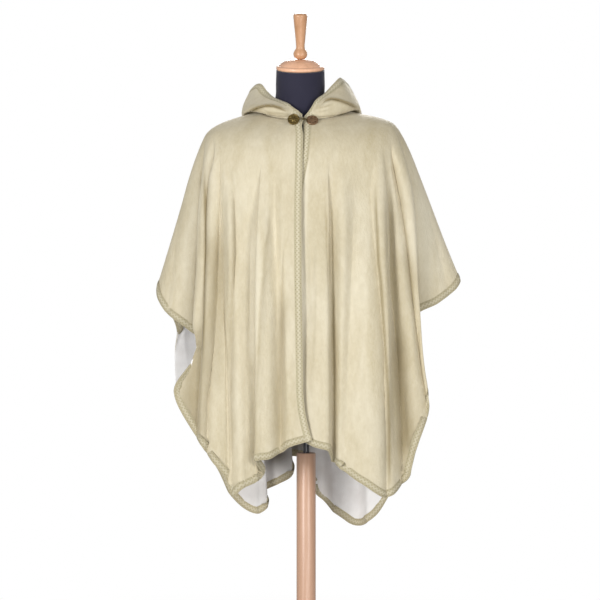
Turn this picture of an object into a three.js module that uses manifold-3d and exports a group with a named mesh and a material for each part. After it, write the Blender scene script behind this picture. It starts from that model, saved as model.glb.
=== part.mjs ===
// Hooded fleece poncho hung on a limbless dress form with a turned wooden stand.
//
// Millimetres, +Z up. X runs to the right and -Y is the front. The origin is on the floor, on the pole's
// axis. Every cloth piece is a wall of even thickness round a middle surface. The body's surface is a fan
// of ribs: each rib leaves the neckline, follows the shoulder, and hangs to its own place on the hem.

import * as THREE from 'three';
import { mergeVertices } from 'three/addons/utils/BufferGeometryUtils.js';
import Module from 'manifold-3d';

const wasm = await Module();
wasm.setup();

// ---------------------------------------------------------------- driving sizes

const CLOTH = 2.6; // thickness of the fleece
const SEAM = 0.3; // gap left between pieces that are sewn together
const BINDING = { width: 15, thick: 1.2, gap: 0.5 }; // folded braid tape on every raw edge

const NECKLINE = { x: -8, y: -4, halfWidth: 98, halfDepth: 86, front: 1383, back: 1438 };
// left, right, front, back: how far the shoulder's edge lies from its middle. square: 2 is an ellipse.
const SHOULDER = { x: -8, y: -4, left: 237, right: 224, front: 134, back: 132, square: 2.4 };
const SHOULDER_Z = { front: 1290, left: 1354, right: 1379, back: 1302 };
const KNEE = { out: 0.84, down: 0.34 }; // where the shoulder's slope turns into the hanging side
const LEFT_OVER_RIGHT = { lift: 6.6, upward: 0.9, from: 6, to: 20 }; // the left front lies on the right front

const LEAN = 0.0157; // the form leans this much to the wearer's right, per mm of height
const LEAN_BASE = 620;
const CAP_TILT = THREE.MathUtils.degToRad(15); // the neck is cut slanting down to the front

const NECK = { radius: 60, top: 1515, y: 0 };
const FORM_GAP = CLOTH / 2 + BINDING.thick + 1.2; // shoulder cloth's middle to the form's cover
const FORM_BOTTOM = 755;

const ROD = { radius: 7.2, bottom: 330 };
const POLE = { radius: 23.5, bore: 7.28, boreDeep: 150, top: 578, edge: 2 }; // bored past the rod's foot
const BASE = { radius: 195, thick: 30, edge: 10, boss: 46, bossHeight: 18 };

const CLASP = { radius: 14.5, thick: 3.4, z: 1377 };
// lift: from the middle of the cloth to the disc's back. upright: 0 lies on the cloth, 1 faces forward.
const LEFT_DISC = { x: -29, lift: 7.1, upright: 0.55 };
const RIGHT_DISC = { x: 14, lift: 4.9, upright: 0.3 };
const HOOK = { high: 5.2, thick: 1.8, over: 3, offLeft: 1.65, offRight: 0.6 }; // laid over the two discs' rims

// The hang of a rib below the shoulder: it leaves along the shoulder's slope, and ends in its own sweep.
const HANG = { early: 0.12, late: 0.62, latePerFlare: 0.0027, foldHigh: 0.7 };

const TRIM_GAP = 0.12; // least gap that trimming leaves between a binding and its wall
const PAST_CORNER = 0.06; // share of a column that a hem's binding stays clear of the front edge's
const COLUMN = { length: 45, turn: 0.5 }; // a wall has a column for each length (mm) or turn (radians) of hem
const COLUMNS = { left: 38, back: 58, right: 36 };

// ---------------------------------------------------------------- tables

// Ribs of the body, from the left front edge round the back to the right front edge. turn is the angle
// round the neck, 0 in front and 90 over the shoulder at -X; x, y, z is the rib's foot on the hem, and
// fold is how far the rib stands out (+) or falls in (-) half way down, and flare is how far it sweeps
// outward over its last third.
const RIBS = [
  // left front
  { turn: 0, x: 6, y: -154, z: 621, fold: 4, flare: 0 },
  { turn: 8, x: -34, y: -156, z: 608, fold: 5, flare: 0 },
  { turn: 12, x: -61, y: -147, z: 590, fold: -5, flare: 0 },
  { turn: 15, x: -88, y: -158, z: 577, fold: 4, flare: 0 },
  { turn: 19, x: -117, y: -160, z: 572, fold: 9, flare: 0 },
  { turn: 21.5, x: -103, y: -126, z: 533, fold: -9, flare: 0 },
  { turn: 27, x: -122, y: -128, z: 521, fold: -6, flare: 0 },
  { turn: 36, x: -151, y: -148, z: 506, fold: 10, flare: 0 },
  { turn: 44, x: -176, y: -143, z: 486, fold: -4, flare: 0 },
  { turn: 49, x: -190, y: -132, z: 525, fold: -9, flare: 0 },
  { turn: 56, x: -222, y: -138, z: 568, fold: 12, flare: 0 },
  { turn: 63, x: -271, y: -128, z: 642, fold: 9, flare: 15 },
  { turn: 69, x: -311, y: -122, z: 716, fold: 4, flare: 60 },
  { turn: 72, x: -313, y: -122, z: 752, fold: 4, flare: 95 },
  { turn: 75, x: -282, y: -106, z: 804, fold: 6, flare: 115 },
  { turn: 77, x: -258, y: -62, z: 838, fold: -14, flare: 50 },
  { turn: 80, x: -290, y: -46, z: 877, fold: -5, flare: 0 },
  { turn: 85, x: -335, y: -34, z: 915, fold: 3, flare: 0 },
  { turn: 89, x: -363, y: -8, z: 958, fold: 3, flare: 0 },
  { turn: 92, x: -365, y: 18, z: 984, fold: 0, flare: 0 },
  // back
  { turn: 96, x: -350, y: 41, z: 949, fold: 0, flare: 0 },
  { turn: 101, x: -321, y: 64, z: 878, fold: -4, flare: 20 },
  { turn: 107, x: -327, y: 80, z: 820, fold: 2, flare: 42 },
  { turn: 113, x: -322, y: 92, z: 724, fold: 6, flare: 34 },
  { turn: 120, x: -282, y: 102, z: 628, fold: -6, flare: 0 },
  { turn: 129, x: -226, y: 112, z: 532, fold: 8, flare: 0 },
  { turn: 138, x: -170, y: 104, z: 441, fold: -8, flare: 0 },
  { turn: 147, x: -122, y: 112, z: 415, fold: 9, flare: 0 },
  { turn: 151, x: -98, y: 108, z: 431, fold: 4, flare: 0 },
  { turn: 154, x: -108, y: 138, z: 466, fold: -10, flare: 0 },
  { turn: 160, x: -70, y: 134, z: 487, fold: -2, flare: 0 },
  { turn: 166, x: -34, y: 122, z: 512, fold: 8, flare: 0 },
  { turn: 170, x: -44, y: 154, z: 553, fold: -8, flare: 0 },
  { turn: 177, x: -8, y: 156, z: 551, fold: 4, flare: 0 },
  { turn: 184, x: 13, y: 128, z: 486, fold: 6, flare: 0 },
  { turn: 192, x: 42, y: 142, z: 446, fold: -8, flare: 0 },
  { turn: 203, x: 97, y: 122, z: 398, fold: 8, flare: 0 },
  { turn: 212, x: 134, y: 130, z: 382, fold: -2, flare: 0 },
  { turn: 220, x: 176, y: 112, z: 411, fold: -9, flare: 0 },
  { turn: 229, x: 229, y: 112, z: 496, fold: 9, flare: 0 },
  { turn: 238, x: 272, y: 100, z: 600, fold: -4, flare: 15 },
  { turn: 247, x: 291, y: 92, z: 706, fold: 6, flare: 36 },
  { turn: 254, x: 272, y: 84, z: 818, fold: 0, flare: 60 },
  { turn: 260, x: 263, y: 74, z: 905, fold: -6, flare: 50 },
  { turn: 264, x: 312, y: 56, z: 972, fold: 0, flare: 0 },
  { turn: 267, x: 358, y: 30, z: 1000, fold: 0, flare: 0 },
  { turn: 270, x: 376, y: 4, z: 1000, fold: 0, flare: 0 },
  // right front
  { turn: 273, x: 366, y: -14, z: 980, fold: 3, flare: 0 },
  { turn: 278, x: 318, y: -34, z: 944, fold: 2, flare: 0 },
  { turn: 282, x: 266, y: -54, z: 914, fold: -8, flare: 0 },
  { turn: 284, x: 262, y: -66, z: 850, fold: -4, flare: 55 },
  { turn: 286, x: 288, y: -104, z: 752, fold: 12, flare: 44 },
  { turn: 289, x: 293, y: -118, z: 702, fold: 14, flare: 22 },
  { turn: 296, x: 265, y: -120, z: 602, fold: 10, flare: 0 },
  { turn: 302, x: 246, y: -112, z: 532, fold: -14, flare: 0 },
  { turn: 307, x: 220, y: -122, z: 504, fold: -12, flare: 0 },
  { turn: 312, x: 188, y: -148, z: 485, fold: 10, flare: 0 },
  { turn: 322, x: 132, y: -152, z: 518, fold: 6, flare: 0 },
  { turn: 333, x: 94, y: -144, z: 544, fold: -5, flare: 0 },
  { turn: 341, x: 76, y: -148, z: 556, fold: 5, flare: 0 },
  { turn: 347, x: 66, y: -128, z: 566, fold: -9, flare: 0 },
  { turn: 349.5, x: 50, y: -154, z: 596, fold: 5, flare: 0 },
  { turn: 352, x: 22, y: -148, z: 605, fold: 2, flare: 0 },
  { turn: 360, x: -12, y: -143, z: 628, fold: 0, flare: 0 },
];
const LEFT_SHOULDER = 19.5; // place among the ribs of the two shoulder seams
const RIGHT_SHOULDER = 46.5;

// Where the left front's side falls, at each height, and how much of what lies past it is brought in.
const TUCK = [
  { z: 735, x: -318, share: 0 },
  { z: 765, x: -298, share: 0.3 },
  { z: 800, x: -274, share: 0.55 },
  { z: 838, x: -253, share: 0.6 },
  { z: 865, x: -262, share: 0.6 },
  { z: 890, x: -280, share: 0.3 },
  { z: 925, x: -300, share: 0 },
];

// Sections of the hood, planar and radial from the neckline. The cloth lies out over the shoulder to a
// fold, then comes back up to the face edge. foldOut, foldDown: place of the fold; edgeOut, edgeUp: place
// of the face edge; bulge: how far the outer wall rounds out between them.
const HOOD = [
  { turn: 1, foldOut: 2, foldDown: -5, edgeOut: -3, edgeUp: 7, bulge: 0 },
  { turn: 10, foldOut: 6, foldDown: -6, edgeOut: -6, edgeUp: 21, bulge: 1 },
  { turn: 20, foldOut: 13, foldDown: -12, edgeOut: -9, edgeUp: 35, bulge: 2 },
  { turn: 40, foldOut: 24, foldDown: -24, edgeOut: -14, edgeUp: 43, bulge: 4 },
  { turn: 62, foldOut: 38, foldDown: -14, edgeOut: -15, edgeUp: 46, bulge: 8 },
  { turn: 86, foldOut: 47, foldDown: 0, edgeOut: -8, edgeUp: 53, bulge: 8 },
  { turn: 106, foldOut: 56, foldDown: 8, edgeOut: 14, edgeUp: 66, bulge: 6 },
  { turn: 124, foldOut: 84, foldDown: 22, edgeOut: 56, edgeUp: 52, bulge: 8 },
  { turn: 140, foldOut: 104, foldDown: 84, edgeOut: 100, edgeUp: 28, bulge: 18 },
  { turn: 158, foldOut: 110, foldDown: 206, edgeOut: 126, edgeUp: 2, bulge: 24 },
  { turn: 180, foldOut: 112, foldDown: 262, edgeOut: 140, edgeUp: -14, bulge: 30 },
  { turn: 202, foldOut: 110, foldDown: 210, edgeOut: 122, edgeUp: 6, bulge: 26 },
  { turn: 220, foldOut: 102, foldDown: 84, edgeOut: 94, edgeUp: 36, bulge: 18 },
  { turn: 236, foldOut: 78, foldDown: 22, edgeOut: 38, edgeUp: 62, bulge: 6 },
  { turn: 254, foldOut: 50, foldDown: 4, edgeOut: 4, edgeUp: 78, bulge: 3 },
  { turn: 274, foldOut: 42, foldDown: -10, edgeOut: -7, edgeUp: 85, bulge: 1 },
  { turn: 298, foldOut: 34, foldDown: -24, edgeOut: -12, edgeUp: 78, bulge: 4 },
  { turn: 320, foldOut: 24, foldDown: -38, edgeOut: -15, edgeUp: 60, bulge: 5 },
  { turn: 340, foldOut: 13, foldDown: -20, edgeOut: -10, edgeUp: 45, bulge: 2 },
  { turn: 350, foldOut: 6, foldDown: -8, edgeOut: -5, edgeUp: 24, bulge: 1 },
  { turn: 358.6, foldOut: 2, foldDown: -5, edgeOut: -3, edgeUp: 7, bulge: 0 },
];
const HOOD_SEAM_UP = 1.9; // the hood's cloth starts this far over the neckline
const HOOD_STAND = 12; // and stands this far up before it turns out
const HOOD_OFF_BODY = 7; // least height of the hood's cloth over the body's
const HOOD_OPENS = [4, 18]; // foldOut over which the flat band at the throat opens into the fold

// Rings of the dress form's neck, from its slanted top down: how much wider than the neck's top, and what
// share of the cap's tilt each one has. Then its root at the neckline, and the rings under the yoke.
const NECK_RINGS = [
  { z: NECK.top, more: -1, slant: 1 },
  { z: 1480, more: 0, slant: 0.5 },
  { z: 1450, more: 1, slant: 0 },
];
const NECK_ROOT = { inward: 0.55, up: 1 };
const YOKE_RINGS = [0.06, 0.25, 0.45, 0.62];

// Rings of the dress form under the shoulders: half width, depth to the front and to the back.
const TORSO_X = 4;
const TORSO_SQUARE = 2.3; // 2 is an ellipse, more is squarer
const TORSO = [
  { z: 1345, half: 203, front: 112, back: 104 },
  { z: 1320, half: 199, front: 120, back: 112 },
  { z: 1280, half: 184, front: 123, back: 116 },
  { z: 1220, half: 170, front: 122, back: 112 },
  { z: 1130, half: 152, front: 108, back: 102 },
  { z: 1050, half: 140, front: 98, back: 98 },
  { z: 960, half: 154, front: 104, back: 108 },
  { z: 860, half: 170, front: 112, back: 120 },
  { z: 790, half: 172, front: 112, back: 120 },
  { z: FORM_BOTTOM, half: 168, front: 108, back: 116 },
];

// ---------------------------------------------------------------- materials and meshes

const COLOURS = {
  fleece: { color: 0xcdc2a0, roughness: 0.9, metalness: 0 },
  braid: { color: 0xb4aa84, roughness: 0.9, metalness: 0 },
  brass: { color: 0x7a6636, roughness: 0.4, metalness: 1 },
  navy: { color: 0x2b2940, roughness: 0.85, metalness: 0 },
  beech: { color: 0xdcb78c, roughness: 0.45, metalness: 0 },
  steel: { color: 0x4a4a4e, roughness: 0.35, metalness: 1 },
};

const poncho = new THREE.Group();

function addMesh(name, geometry, finish) {
  const material = new THREE.MeshStandardMaterial(COLOURS[finish]);
  const mesh = new THREE.Mesh(geometry, material);
  mesh.name = name;
  poncho.add(mesh);
  return mesh;
}

// A closed solid from points and triangles, turned so that its faces point out.
function solidGeometry(points, triangles) {
  let volume = 0;
  for (const [a, b, c] of triangles) {
    volume += points[a].dot(new THREE.Vector3().crossVectors(points[b], points[c]));
  }
  const index = triangles.flatMap(([a, b, c]) => (volume > 0 ? [a, b, c] : [a, c, b]));
  const geometry = new THREE.BufferGeometry();
  geometry.setAttribute('position', new THREE.Float32BufferAttribute(points.flatMap((p) => p.toArray()), 3));
  geometry.setIndex(index);
  return geometry;
}

// ---------------------------------------------------------------- small maths

const radians = THREE.MathUtils.degToRad;
const lerp = THREE.MathUtils.lerp;
const smoothstep = THREE.MathUtils.smoothstep;

function steps(count, from = 0, to = 1) {
  return Array.from({ length: count + 1 }, (_, i) => lerp(from, to, i / count));
}

function power(value, exponent) {
  return Math.sign(value) * Math.abs(value) ** exponent;
}

// Reads a table at a place between its rows: a cubic through the rows, spaced by the given knots.
function readTable(rows, knots, place) {
  const last = rows.length - 1;
  const row = Math.min(Math.max(Math.floor(place), 0), last - 1);
  const span = knots[row + 1] - knots[row];
  const t = place - row;
  const result = {};
  for (const column of Object.keys(rows[0])) {
    const value = (i) => rows[i][column];
    const slope = (i) => {
      if (i === 0) return (value(1) - value(0)) / (knots[1] - knots[0]);
      if (i === last) return (value(last) - value(last - 1)) / (knots[last] - knots[last - 1]);
      const before = (value(i) - value(i - 1)) / (knots[i] - knots[i - 1]);
      const after = (value(i + 1) - value(i)) / (knots[i + 1] - knots[i]);
      const share = (knots[i] - knots[i - 1]) / (knots[i + 1] - knots[i - 1]);
      return lerp(before, after, share);
    };
    const rise = value(row + 1) - value(row);
    const startSlope = slope(row) * span;
    const endSlope = slope(row + 1) * span;
    const a = startSlope + endSlope - 2 * rise;
    const b = 3 * rise - 2 * startSlope - endSlope;
    result[column] = ((a * t + b) * t + startSlope) * t + value(row);
  }
  return result;
}

// Knots that grow with the square root of the distance between the ribs' feet.
const RIB_KNOTS = RIBS.reduce((knots, rib, i) => {
  if (i === 0) return [0];
  const before = RIBS[i - 1];
  const distance = Math.hypot(rib.x - before.x, rib.y - before.y, rib.z - before.z);
  return [...knots, knots[i - 1] + Math.sqrt(distance)];
}, []);
const HOOD_KNOTS = HOOD.map((row) => row.turn);

// ---------------------------------------------------------------- the body's surface

function outward(turn) {
  return new THREE.Vector3(-Math.sin(radians(turn)), -Math.cos(radians(turn)), 0);
}

function necklinePoint(turn) {
  const forward = Math.cos(radians(turn));
  return new THREE.Vector3(
    NECKLINE.x - NECKLINE.halfWidth * Math.sin(radians(turn)),
    NECKLINE.y - NECKLINE.halfDepth * forward,
    lerp(NECKLINE.back, NECKLINE.front, (1 + forward) / 2),
  );
}

function shoulderPoint(turn) {
  const side = Math.sin(radians(turn));
  const forward = Math.cos(radians(turn));
  const depth = forward > 0 ? SHOULDER.front : SHOULDER.back;
  const half = side > 0 ? SHOULDER.left : SHOULDER.right;
  const middleZ = lerp(SHOULDER_Z.back, SHOULDER_Z.front, (1 + forward) / 2);
  const sideZ = side > 0 ? SHOULDER_Z.left : SHOULDER_Z.right;
  return new THREE.Vector3(
    SHOULDER.x - half * power(side, 2 / SHOULDER.square),
    SHOULDER.y - depth * power(forward, 2 / SHOULDER.square),
    lerp(middleZ, sideZ, Math.abs(side) ** 3),
  );
}

function kneePoint(turn) {
  const neck = necklinePoint(turn);
  const edge = shoulderPoint(turn);
  return new THREE.Vector3(
    lerp(neck.x, edge.x, KNEE.out),
    lerp(neck.y, edge.y, KNEE.out),
    lerp(neck.z, edge.z, KNEE.down),
  );
}

function yokePoint(turn, t) {
  return new THREE.QuadraticBezierCurve3(necklinePoint(turn), kneePoint(turn), shoulderPoint(turn)).getPoint(t);
}

// How far the left front is lifted off the right one at a turn, out and, near the neckline, up.
function overlapLift(turn, down) {
  const over = LEFT_OVER_RIGHT;
  const lift = turn < 180 ? over.lift * (1 - smoothstep(turn, over.from, over.to)) : 0;
  return outward(turn).setZ(over.upward * (1 - down)).multiplyScalar(lift);
}

// Middle of the cloth: place counts along the ribs; down runs 0 to 1 over the shoulder and 1 to 2 to the hem.
function bodyPoint(place, down) {
  const rib = readTable(RIBS, RIB_KNOTS, place);
  const out = outward(rib.turn);
  if (down <= 1) {
    return yokePoint(rib.turn, down).add(overlapLift(rib.turn, down));
  }
  const edge = shoulderPoint(rib.turn).add(overlapLift(rib.turn, 1));
  const hem = new THREE.Vector3(rib.x, rib.y, rib.z);
  const length = edge.distanceTo(hem);
  const slope = shoulderPoint(rib.turn).sub(kneePoint(rib.turn)).normalize();
  const early = edge.clone().addScaledVector(slope, length * HANG.early);
  const sweep = hem.clone().setZ(0).setLength(rib.flare);
  const late = edge.clone().lerp(hem, HANG.late + rib.flare * HANG.latePerFlare).sub(sweep);
  const fall = down - 1;
  const point = new THREE.CubicBezierCurve3(edge, early, late, hem).getPoint(fall);
  point.addScaledVector(out, rib.fold * Math.sin(Math.PI * fall ** HANG.foldHigh));
  return point.setX(point.x + tuckShift(point));
}

// The left front falls straight from the sleeve's hem, so its corner swings out only below the gap: how far
// a point past that fall, at each height, is brought in towards it.
function tuckShift({ x, y, z }) {
  const row = TUCK.findIndex((end) => z < end.z);
  if (row < 1) return 0;
  const [low, high] = [TUCK[row - 1], TUCK[row]];
  const t = (z - low.z) / (high.z - low.z);
  const past = low.x + (high.x - low.x) * t - x;
  const share = low.share + (high.share - low.share) * t;
  return share * smoothstep(-y, 0, 40) * (past + Math.hypot(past, 20)) / 2;
}

// ---------------------------------------------------------------- the hood's surface

// Height of the body's cloth at a distance out from the neckline, or nothing past the shoulder.
function shoulderHeight(turn, out) {
  const neck = necklinePoint(turn);
  const way = outward(turn);
  let near = 0;
  let far = 1;
  for (let i = 0; i < 20; i++) {
    const middle = (near + far) / 2;
    if (yokePoint(turn, middle).sub(neck).dot(way) < out) near = middle;
    else far = middle;
  }
  return near > 0.99 ? -Infinity : yokePoint(turn, near).z;
}

// Middle of the hood's cloth: place counts along the sections, along runs 0 to 1 from seam to face edge.
function hoodPoint(place, along) {
  const row = readTable(HOOD, HOOD_KNOTS, place);
  const out = outward(row.turn);
  const lift = overlapLift(row.turn, 0);
  const seam = necklinePoint(row.turn).addScaledVector(out, -CLOTH);
  const at = (outBy, up) => {
    const point = seam.clone().addScaledVector(out, outBy);
    const body = outBy > 0 ? shoulderHeight(row.turn, outBy) + HOOD_OFF_BODY : 0;
    point.z = Math.max(seam.z + up, body);
    return point.add(lift);
  };
  const stand = Math.min(HOOD_STAND, row.edgeUp * 0.4 + 6);
  const wayDown = Math.max(row.foldDown, 0);
  const start = at(0, HOOD_SEAM_UP);
  const fold = at(row.foldOut, HOOD_SEAM_UP - row.foldDown);
  const rise = fold.z - seam.z - lift.z;
  const curve = new THREE.CatmullRomCurve3([
    start,
    at(1 + row.foldOut * 0.08, stand * 0.6 + HOOD_SEAM_UP),
    at(row.foldOut * 0.55 + wayDown * 0.06, stand * 0.5 + 2 - wayDown * 0.42),
    fold,
    at(lerp(row.foldOut, row.edgeOut, 0.2) + row.bulge * 0.8, lerp(rise, row.edgeUp, 0.28)),
    at(lerp(row.foldOut, row.edgeOut, 0.65) + row.bulge * 0.7, lerp(rise, row.edgeUp, 0.72)),
    at(row.edgeOut, row.edgeUp),
  ], false, 'centripetal');
  const band = start.clone().lerp(at(row.edgeOut, row.edgeUp), along);
  return band.lerp(curve.getPoint(along), smoothstep(row.foldOut, ...HOOD_OPENS));
}

// ---------------------------------------------------------------- walls and bindings

// One point of a cloth piece: a place on the middle surface, with the surface's normal there.
function clothPoint(surface, u, v, uEnd, vEnd) {
  const near = 0.02;
  const inU = THREE.MathUtils.clamp(u, near, uEnd - near);
  const inV = THREE.MathUtils.clamp(v, near, vEnd - near);
  const alongU = surface(inU + near, inV).sub(surface(inU - near, inV));
  const alongV = surface(inU, inV + near).sub(surface(inU, inV - near));
  return { point: surface(u, v), normal: alongU.cross(alongV).normalize() };
}

// A wall of even thickness through a lattice of cloth points, closed along its four edges.
function wallGeometry(lattice, half = CLOTH / 2) {
  const columns = lattice.length;
  const rows = lattice[0].length;
  const points = [half, -half].flatMap((side) => (
    lattice.flat().map(({ point, normal }) => point.clone().addScaledVector(normal, side))
  ));
  const at = (layer, i, j) => (layer * columns + i) * rows + j;
  const triangles = [];
  const quad = (a, b, c, d) => triangles.push([a, b, c], [a, c, d]);
  for (let i = 0; i < columns - 1; i++) {
    for (let j = 0; j < rows - 1; j++) {
      quad(at(0, i, j), at(0, i + 1, j), at(0, i + 1, j + 1), at(0, i, j + 1));
      triangles.push([at(1, i, j), at(1, i + 1, j + 1), at(1, i + 1, j)]);
      triangles.push([at(1, i, j), at(1, i, j + 1), at(1, i + 1, j + 1)]);
    }
    const end = rows - 1;
    quad(at(0, i, 0), at(1, i, 0), at(1, i + 1, 0), at(0, i + 1, 0));
    quad(at(0, i, end), at(0, i + 1, end), at(1, i + 1, end), at(1, i, end));
  }
  for (let j = 0; j < rows - 1; j++) {
    const end = columns - 1;
    quad(at(0, 0, j), at(0, 0, j + 1), at(1, 0, j + 1), at(1, 0, j));
    quad(at(0, end, j), at(1, end, j), at(1, end, j + 1), at(0, end, j + 1));
  }
  return solidGeometry(points, triangles);
}

// A tape folded over an edge of a wall. Each frame holds the wall's cloth points at the tape's inner side
// and at the edge. The tape's facets follow the wall's: crossing says which way those are split.
function bindingGeometry(frames, crossing) {
  const inner = CLOTH / 2 + BINDING.gap;
  const outer = inner + BINDING.thick;
  const past = BINDING.gap + BINDING.thick;
  const points = frames.flatMap(({ inside, edge }, i) => {
    const before = frames[Math.max(i - 1, 0)].edge.point;
    const after = frames[Math.min(i + 1, frames.length - 1)].edge.point;
    const beyond = after.clone().sub(before).cross(edge.normal).normalize();
    if (beyond.dot(edge.point.clone().sub(inside.point)) < 0) beyond.negate();
    const off = (cloth, high, deep) => (
      cloth.point.clone().addScaledVector(cloth.normal, high).addScaledVector(beyond, deep)
    );
    return [
      off(inside, outer, 0),
      off(edge, outer, 0),
      off(edge, outer * 0.5, past),
      off(edge, -outer * 0.5, past),
      off(edge, -outer, 0),
      off(inside, -outer, 0),
      off(inside, -inner, 0),
      off(edge, -inner, BINDING.gap),
      off(edge, inner, BINDING.gap),
      off(inside, inner, 0),
    ];
  });
  const sides = 10;
  const towardInside = [4, 8];
  const triangles = [];
  for (let i = 0; i < frames.length - 1; i++) {
    for (let j = 0; j < sides; j++) {
      const a = i * sides + j;
      const b = i * sides + ((j + 1) % sides);
      const flip = towardInside.includes(j) === (crossing === 'inside first');
      if (flip) triangles.push([a, b, a + sides], [b, b + sides, a + sides]);
      else triangles.push([a, b, b + sides], [a, b + sides, a + sides]);
    }
  }
  const cap = [[0, 1, 8], [0, 8, 9], [1, 2, 8], [2, 3, 7], [2, 7, 8], [3, 4, 7], [4, 5, 6], [4, 6, 7]];
  const last = (frames.length - 1) * sides;
  for (const [a, b, c] of cap) {
    triangles.push([a, c, b], [last + a, last + b, last + c]);
  }
  return solidGeometry(points, triangles);
}

function toManifold(geometry) {
  return new wasm.Manifold(new wasm.Mesh({
    numProp: 3,
    vertProperties: new Float32Array(geometry.attributes.position.array),
    triVerts: new Uint32Array(geometry.index.array),
  }));
}

// Trims a binding where a sharp turn of the hem crowds it against its wall, and keeps its one body.
function trimmedBinding(frames, lattice) {
  const keepOut = toManifold(wallGeometry(lattice, CLOTH / 2 + TRIM_GAP));
  const bodies = toManifold(bindingGeometry(frames, 'inside first')).subtract(keepOut).decompose();
  const largest = bodies.reduce((a, b) => (a.volume() > b.volume() ? a : b));
  const { vertProperties, triVerts } = largest.getMesh();
  const result = new THREE.BufferGeometry();
  result.setAttribute('position', new THREE.BufferAttribute(vertProperties, 3));
  result.setIndex(new THREE.BufferAttribute(triVerts, 1));
  return result;
}

// ---------------------------------------------------------------- cloth pieces

const LAST_RIB = RIBS.length - 1;
const DOWN_STEPS = [...steps(4, 0, 1), ...steps(6, 1, 2).slice(1, -1)];

// How far along a surface's v, or along its u from an edge, the binding's width reaches.
function reachOfBinding(surface, edge, toward) {
  const start = surface(...edge);
  let near = 0;
  let far = 1;
  for (let i = 0; i < 30; i++) {
    const middle = (near + far) / 2;
    const distance = surface(...toward(middle)).distanceTo(start);
    if (distance < BINDING.width) near = middle;
    else far = middle;
  }
  return near;
}

// Places between two ribs, closer together where the hem turns sharply.
function spreadPlaces(from, to, count) {
  const samples = steps(500, from, to);
  const heads = samples.map((place) => clothPoint(bodyPoint, place, 2, LAST_RIB, 2));
  const weights = [0];
  for (let i = 1; i < samples.length; i++) {
    const length = heads[i].point.distanceTo(heads[i - 1].point);
    const turned = heads[i].normal.angleTo(heads[i - 1].normal);
    weights.push(weights[i - 1] + length / COLUMN.length + turned / COLUMN.turn);
  }
  return steps(count).map((share) => {
    const next = Math.max(1, weights.findIndex((weight) => weight >= share * weights.at(-1) - 1e-9));
    const part = (share * weights.at(-1) - weights[next - 1]) / (weights[next] - weights[next - 1]);
    return lerp(samples[next - 1], samples[next], part);
  });
}

// The lattice of a body panel. Its last two rows lie about a binding's width apart, and so do the two
// columns at a front edge. At a shoulder seam the end column stays half a seam gap back.
function panelLattice(from, to, count) {
  const isFrontLeft = from === 0;
  const isFrontRight = to === LAST_RIB;
  const places = spreadPlaces(isFrontLeft ? 1 : from, isFrontRight ? LAST_RIB - 1 : to, count);
  if (isFrontLeft) places.unshift(from, null);
  if (isFrontRight) places.push(null, to);
  const edgePlace = isFrontLeft ? from : to;
  const sign = isFrontLeft ? 1 : -1;
  return places.map((fixedPlace, i) => {
    const isSeam = (i === 0 && !isFrontLeft) || (i === places.length - 1 && !isFrontRight);
    const placeAt = (v) => {
      if (fixedPlace !== null) return fixedPlace;
      return edgePlace + sign * reachOfBinding(bodyPoint, [edgePlace, v], (d) => [edgePlace + sign * d, v]);
    };
    const hemPlace = placeAt(2);
    const hemRow = 2 - reachOfBinding(bodyPoint, [hemPlace, 2], (d) => [hemPlace, 2 - d]);
    return [...DOWN_STEPS, hemRow, 2].map((v) => {
      const u = placeAt(v);
      const cloth = clothPoint(bodyPoint, u, v, LAST_RIB, 2);
      if (isSeam) {
        const away = bodyPoint(u + (i === 0 ? 0.02 : -0.02), v).sub(cloth.point).normalize();
        cloth.point.addScaledVector(away, SEAM / 2);
      }
      return cloth;
    });
  });
}

const panels = {
  front_left: panelLattice(0, LEFT_SHOULDER, COLUMNS.left),
  back: panelLattice(LEFT_SHOULDER, RIGHT_SHOULDER, COLUMNS.back),
  front_right: panelLattice(RIGHT_SHOULDER, LAST_RIB, COLUMNS.right),
};
for (const [name, lattice] of Object.entries(panels)) {
  addMesh(name, wallGeometry(lattice), 'fleece');
}

// A frame part of the way from one frame to the next, on the wall's own facets.
function frameBetween(one, other, share) {
  const mix = (a, b) => ({
    point: a.point.clone().lerp(b.point, share),
    normal: a.normal.clone().lerp(b.normal, share).normalize(),
  });
  return { inside: mix(one.inside, other.inside), edge: mix(one.edge, other.edge) };
}

// Bindings of the three hems; beside a front edge they start just past that edge's own binding.
function hemFrames(lattice) {
  return lattice.map((column) => ({ inside: column.at(-2), edge: column.at(-1) }));
}
{
  const left = hemFrames(panels.front_left).slice(1);
  left[0] = frameBetween(left[0], left[1], PAST_CORNER);
  const right = hemFrames(panels.front_right).slice(0, -1);
  right.push(frameBetween(right.pop(), right.at(-1), PAST_CORNER));
  addMesh('binding_hem_left', trimmedBinding(left, panels.front_left), 'braid');
  addMesh('binding_hem_back', trimmedBinding(hemFrames(panels.back), panels.back), 'braid');
  addMesh('binding_hem_right', trimmedBinding(right, panels.front_right), 'braid');
}

// Bindings of the two front edges, from the neckline to the hem.
{
  const leftEdge = panels.front_left[0].map((edge, j) => ({ inside: panels.front_left[1][j], edge }));
  const rightEdge = panels.front_right.at(-1).map((edge, j) => ({ inside: panels.front_right.at(-2)[j], edge }));
  addMesh('binding_front_left', bindingGeometry(leftEdge, 'edge first'), 'braid');
  addMesh('binding_front_right', bindingGeometry(rightEdge, 'inside first'), 'braid');
}

// The hood and the binding of its face edge.
{
  const last = HOOD.length - 1;
  const lattice = steps(2 * last, 0, last).map((place) => {
    const faceRow = 1 - reachOfBinding(hoodPoint, [place, 1], (d) => [place, 1 - d]);
    const rows = [...steps(10, 0, 1).slice(0, -1).map((t) => t * faceRow / 0.9), 1];
    rows[rows.length - 2] = faceRow;
    return rows.map((along) => clothPoint(hoodPoint, place, along, last, 1));
  });
  addMesh('hood', wallGeometry(lattice), 'fleece');
  addMesh('binding_hood', trimmedBinding(hemFrames(lattice), lattice), 'braid');
}

// ---------------------------------------------------------------- clasp

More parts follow.
